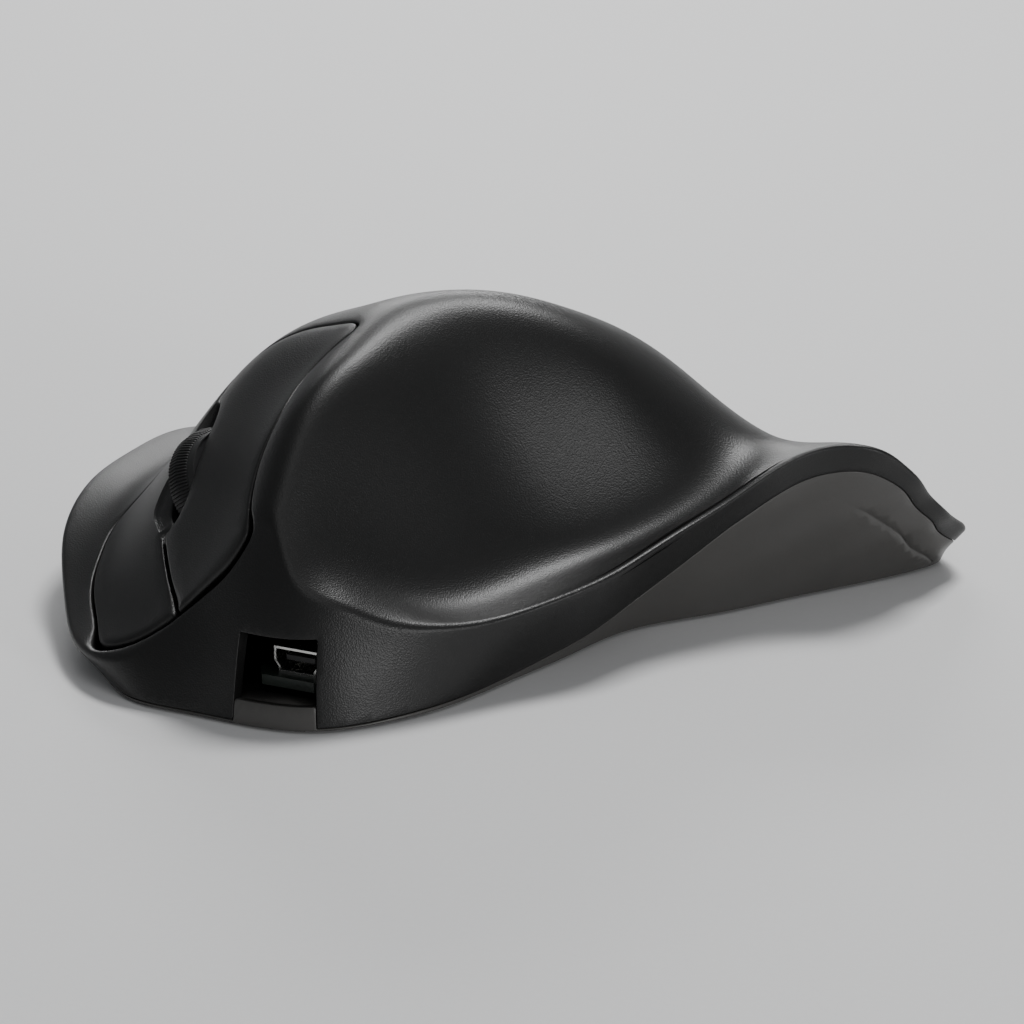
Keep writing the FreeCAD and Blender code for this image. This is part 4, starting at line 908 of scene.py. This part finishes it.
for giver, out_socket, taker, in_socket in (
        (given, "Rib count", row, "Count"), (given, "Rib count", pitch, 1),
        (index, "Index", turn, 0), (pitch, 0, turn, 1), (given, "First turn", turn, 2),
        (turn, 0, angles, "X"), (angles, "Vector", rotation, "Euler"), (row, "Mesh", spread, "Points"),
        (given, "Geometry", spread, "Instance"), (rotation, "Rotation", spread, "Rotation"),
        (spread, "Instances", real, "Geometry"), (real, "Geometry", painted, "Geometry"),
        (painted, "Geometry", result, "Geometry")):
    tree.links.new(giver.outputs[out_socket], taker.inputs[in_socket])
modifier = rib.modifiers.new("ribs", "NODES")
modifier.node_group = tree
modifier[count_socket.identifier] = RIBS
modifier[start_socket.identifier] = FIRST_TURN
bpy.context.view_layer.update()
all_ribs = bpy.data.meshes.new_from_object(rib.evaluated_get(bpy.context.evaluated_depsgraph_get()))
bpy.data.objects.remove(rib)
wheel_tyre = joined("ribbed_tyre", tyre_body, all_ribs)
bm = bmesh.new()
bm.from_mesh(wheel_tyre.data)
for vert in bm.verts:
    a, b, r = vert.co
    vert.co = Vector(from_finger([[a, b, r - AXLE_DEPTH]])[0] * MM)
bmesh.ops.recalc_face_normals(bm, faces=bm.faces)
bm.to_mesh(wheel_tyre.data)
bm.free()
dress(wheel_tyre, "wheel", "rubber", rubber, "wheel_tyre")

# Upper shell. One skin moulded in black ABS carries the whole hand: a dome with a ridge, a
# hollow for the thumb and a wide flange. Its texture is eroded into the mould, its rim is rounded,
# and the buttons and the charging notch are left open in it.
SKIN_THICKNESS, RIM_THINNING, THINNING_REACH, UPPER_SPACING = 2.2, 0.9, 3, 1.1
textured_black = grained_finish("textured_black", (0.0055, 0.0055, 0.0053), 0.4, 0.22, 0.42, 0.45)
# Outline of both buttons together, in plan.
BUTTON_EDGE = [
    (-12.4, -17.9), (-16, -15.2), (-20, -13.4), (-29, -11.5), (-40, -14), (-47, -20), (-50.6, -26),
    (-49.7, -33.5), (-48.3, -38.1), (-44.8, -44.5), (-40.7, -50.6), (-37.4, -54.9),
    (-35.3, -55.6), (-28.9, -55.6), (-23.6, -54.9), (-18.4, -54.7), (-14.8, -54.5), (-13.5, -53.5),
    (-14.0, -50.8), (-15.5, -46.6), (-16.0, -42.6), (-15.7, -37.0), (-15.6, -29.0), (-13.4, -22.4)]
BUTTON_GAP, FRONT_GAP, LIP, FRONT_LIP = 0.45, 0.55, 0.3, 0.6
# The front stretch of that outline: its start along y, how far it grows, its limit, its ends in x.
FRONT_START, FRONT_FADE, FRONT_LIMIT, FRONT_ENDS = -49.0, 5.5, -57.5, (-46, -12)


def at_front(spots):
    """1 along the front edge of the buttons, 0 elsewhere."""
    share = np.clip((FRONT_START - spots[:, 1]) / FRONT_FADE, 0, 1)
    share = share * (spots[:, 0] < FRONT_ENDS[1]) * (spots[:, 0] > FRONT_ENDS[0])
    return share * share * (3 - 2 * share) * (spots[:, 1] > FRONT_LIMIT)


def skin_wall(spots):
    """The skin is thinner where its rim turns over."""
    beyond = to_crest(spots)[1]
    return SKIN_THICKNESS - RIM_THINNING * np.exp(-(beyond / THINNING_REACH) ** 2)


def upper_lip(spots):
    """Rounded round the buttons, almost sharp along the parting line."""
    return np.where(to_crest(spots)[1] > 0.5, SHARP_LIP, LIP) + FRONT_LIP * at_front(spots)


button_edge = closed_curve(BUTTON_EDGE, 400)
button_hole = offset_outline(button_edge, -(BUTTON_GAP + FRONT_GAP * at_front(button_edge))[:, None])
upper_edge = edge_line(PORT_TOP, 0.0, 0.0)
shell_loops = region_loops([upper_edge, button_hole],
                           lambda p: inside(p, upper_edge) & ~inside(p, button_hole))
upper_skin = skin_piece("upper_skin", shell_loops, UPPER_SPACING, upper_lip, skin_wall, lines=crest_lines())
upper_shell = joined("upper_shell", upper_skin)
dress(upper_shell, "case", "textured_black", textured_black, "top_shell")

# Buttons. Two thin skins moulded in the same black as the shell, each with a tail that hangs on
# the hinge pin and a pad over its switch. Their front edges roll over the rim. The wheel stands in
# an opening between them: the near one ends there in a plain edge, the far one in a dished field.

# The split and its corners are in plan. The opening's sides and the field's border are in the
# finger's frame: across, and back from the wheel.
SPLIT_FRONT = [(-22.6, -59.2), (-23.4, -57.2), (-25.3, -53.6), (-28.6, -49.1), (-31.5, -45.2),
               (-33.2, -42.7)]
NEAR_CORNER = [(-33.5, -42.0), (-33.2, -41.85), (-32.5, -41.8)]
FAR_CORNER = [(-34.1, -41.7), (-33.9, -41.35), (-33.2, -41.25), (-32.6, -41.2)]
NEAR_SIDE = [(-0.1, -12.75), (0.9, -11.9), (2.1, -10.2), (2.75, -8.6), (3.1, -7.0), (3.3, -4.5), (3.35, -2),
             (3.3, 1), (3.2, 4), (3.05, 6.3), (2.5, 8.6), (1.4, 11.0), (-0.2, 13.2)]
FAR_SIDE = [(-0.6, -12.2), (-1.8, -11.1), (-2.7, -9.8), (-3.25, -8.2), (-3.4, -6), (-3.4, -2), (-3.4, 3),
            (-3.25, 7), (-2.8, 9.6), (-1.9, 11.8), (-1.0, 13.4)]
DISH = [(-3.1, -13.0), (-4.1, -11.9), (-4.9, -10.8), (-6.4, -8.6), (-7.0, -6.5), (-6.9, -4.5), (-6.2, -1.5),
        (-5.2, 1), (-4.2, 3.5), (-3.45, 6), (-3.3, 7.5)]
SPLIT_REAR = [(-36.1, -19.0), (-36.2, -14), (-36.6, -7)]
OPENING_MIDDLE = (-34.6, -37)
SPLIT_GAP, DISH_STEP, DISH_DEPTH, DISH_SLOPE = 0.5, 0.3, 0.9, 0.22
BUTTON_WALL, BUTTON_SPACING, SKIN_ROOM = 1.9, 0.9, 0.7


def skin_over(spots):
    """The skin's place over spots given across and back from the wheel, in the finger's frame."""
    flat = np.column_stack([np.asarray(spots, float), np.zeros(len(spots))])
    for _ in range(30):
        spot = from_finger(flat)
        flat[:, 2] += 0.5 * (skin_height(spot[:, 0], spot[:, 1]) - spot[:, 2])
    return flat


def smooth_line(points, count, laid=False):
    """A smooth open line through spots."""
    points = np.array(points, float)
    if laid:
        points = from_finger(skin_over(points))[:, :2]
    way = np.concatenate([[0], np.cumsum(np.linalg.norm(np.diff(points, axis=0), axis=1))])
    at = np.linspace(0, way[-1], count)
    return np.column_stack([curve(way, points[:, 0])(at), curve(way, points[:, 1])(at)])


def to_left(line, amount):
    """An open line moved to its left."""
    side = unit(np.gradient(line, axis=0))
    return line + np.column_stack([-side[:, 1], side[:, 0]]) * amount


split_front, split_rear = smooth_line(SPLIT_FRONT, 60), smooth_line(SPLIT_REAR, 30)
near_opening, far_opening = smooth_line(NEAR_SIDE, 80, True), smooth_line(FAR_SIDE, 80, True)
near_line = np.vstack([to_left(split_front, -SPLIT_GAP / 2), NEAR_CORNER, near_opening,
                       to_left(split_rear, -SPLIT_GAP / 2)])
far_line = np.vstack([to_left(split_front, SPLIT_GAP / 2), FAR_CORNER, far_opening,
                      to_left(split_rear, SPLIT_GAP / 2)])
between_buttons = np.vstack([near_line, far_line[::-1]])
dish_line = smooth_line(DISH, 90, True)
dish_field = np.vstack([dish_line, near_opening[::-1], [NEAR_CORNER[-1]], [NEAR_CORNER[0]]])


def dish_sink(spots):
    """Steps down at the field's border and slopes on to the opening."""
    edge, opening = nearest(spots, dish_line), nearest(spots, far_opening)
    step = np.clip(edge / DISH_SLOPE, 0, 1)
    depth = DISH_STEP * step + DISH_DEPTH * edge / (edge + opening + 1e-6)
    return np.where(inside(spots, dish_field), depth, 0.0)


def button_lip(spots):
    return LIP + FRONT_LIP * at_front(spots)


def finger_block(bm, low_corner, high_corner, chamfer=0.25):
    """A block in the finger's frame with softened edges."""
    corners = [(a, b, c) for a in (0, 1) for b in (0, 1) for c in (0, 1)]
    span = [low_corner, high_corner]
    made = [bm.verts.new(from_finger([[span[a][0], span[b][1], span[c][2]]])[0] * MM)
            for a, b, c in corners]
    faces = [(0, 1, 3, 2), (4, 6, 7, 5), (0, 4, 5, 1), (2, 3, 7, 6), (0, 2, 6, 4), (1, 5, 7, 3)]
    made_faces = [bm.faces.new([made[i] for i in face]) for face in faces]
    edges = list({edge for face in made_faces for edge in face.edges})
    bmesh.ops.bevel(bm, geom=edges, offset=chamfer * MM, segments=2, affect="EDGES", profile=0.6)


def finger_ring(bm, centre, start, end, outer_radius, inner_radius, steps=40):
    """An eye round the hinge pin, from start to end across the finger."""
    made = []
    rims = (start, inner_radius), (start, outer_radius), (end, outer_radius), (end, inner_radius)
    for a, radius in rims:
        turn = np.linspace(0, 2 * np.pi, steps, endpoint=False)
        around_pin = np.column_stack([np.full(steps, a), centre[0] + radius * np.cos(turn),
                                      centre[1] + radius * np.sin(turn)])
        made.append([bm.verts.new(point * MM) for point in from_finger(around_pin)])
    for k in range(4):
        first, second = made[k], made[(k + 1) % 4]
        for i in range(steps):
            j = (i + 1) % steps
            bm.faces.new((first[i], first[j], second[j], second[i]))


def under_skin(a0, a1, b0, b1):
    """A height that stays inside the skin over a field."""
    corners = [(a, b) for a in (a0, a1) for b in (b0, b1)]
    return skin_over(corners)[:, 2].min() - SKIN_ROOM


# Tail, hinge eye and switch pad, in the finger's frame: HINGE is the pin's place back and up.
TAIL_INNER, TAIL_OUTER, EYE, BORE, HINGE = 8.2, 13.2, 1.9, 1.06, (20.0, -12.3)
TAIL_FRONT, POST_BACK, TAIL_SHORT = 6.5, 10.5, 1.5
PAD_ACROSS, PAD_BACK, PAD_HALF, PAD_FOOT = 11.5, -7.3, 1.5, -4.6
for name, body, node, sign in (("thumb_button", "left_press", "left_button", 1),
                               ("far_button", "right_press", "right_button", -1)):
    def mine(p):
        picked = inside(p, button_edge) & ~inside(p, between_buttons)
        near = p[:, 0] > np.interp(p[:, 1], *np.vstack([split_front, [OPENING_MIDDLE], split_rear]).T[::-1])
        return picked & (near == (sign > 0))

    loops = region_loops([button_edge, between_buttons], mine)
    dish_lines = [dish_line, to_left(dish_line, -DISH_SLOPE)] if sign < 0 else []
    skin = skin_piece(name + "_skin", loops[:1], BUTTON_SPACING, button_lip,
                      lambda p: np.full(len(p), BUTTON_WALL), dish_sink if sign < 0 else None,
                      crest_lines() + dish_lines)
    bm = bmesh.new()
    start, end = sorted((sign * TAIL_INNER, sign * TAIL_OUTER))
    finger_block(bm, (start, TAIL_FRONT, HINGE[1] - EYE), (end, HINGE[0] - TAIL_SHORT, HINGE[1] + EYE))
    post_top = under_skin(start, end, TAIL_FRONT, POST_BACK)
    finger_block(bm, (start, TAIL_FRONT, HINGE[1]), (end, POST_BACK, post_top))
    finger_ring(bm, HINGE, start, end, EYE, BORE)
    pad = sign * PAD_ACROSS
    pad_sides = (pad - PAD_HALF, pad + PAD_HALF, PAD_BACK - PAD_HALF, PAD_BACK + PAD_HALF)
    finger_block(bm, (pad_sides[0], pad_sides[2], PAD_FOOT),
                 (pad_sides[1], pad_sides[3], under_skin(*pad_sides)))
    bmesh.ops.recalc_face_normals(bm, faces=bm.faces)
    tail = bpy.data.meshes.new(name + "_tail")
    bm.to_mesh(tail)
    bm.free()
    dress(joined(name, skin, tail), body, "textured_black", textured_black, node)
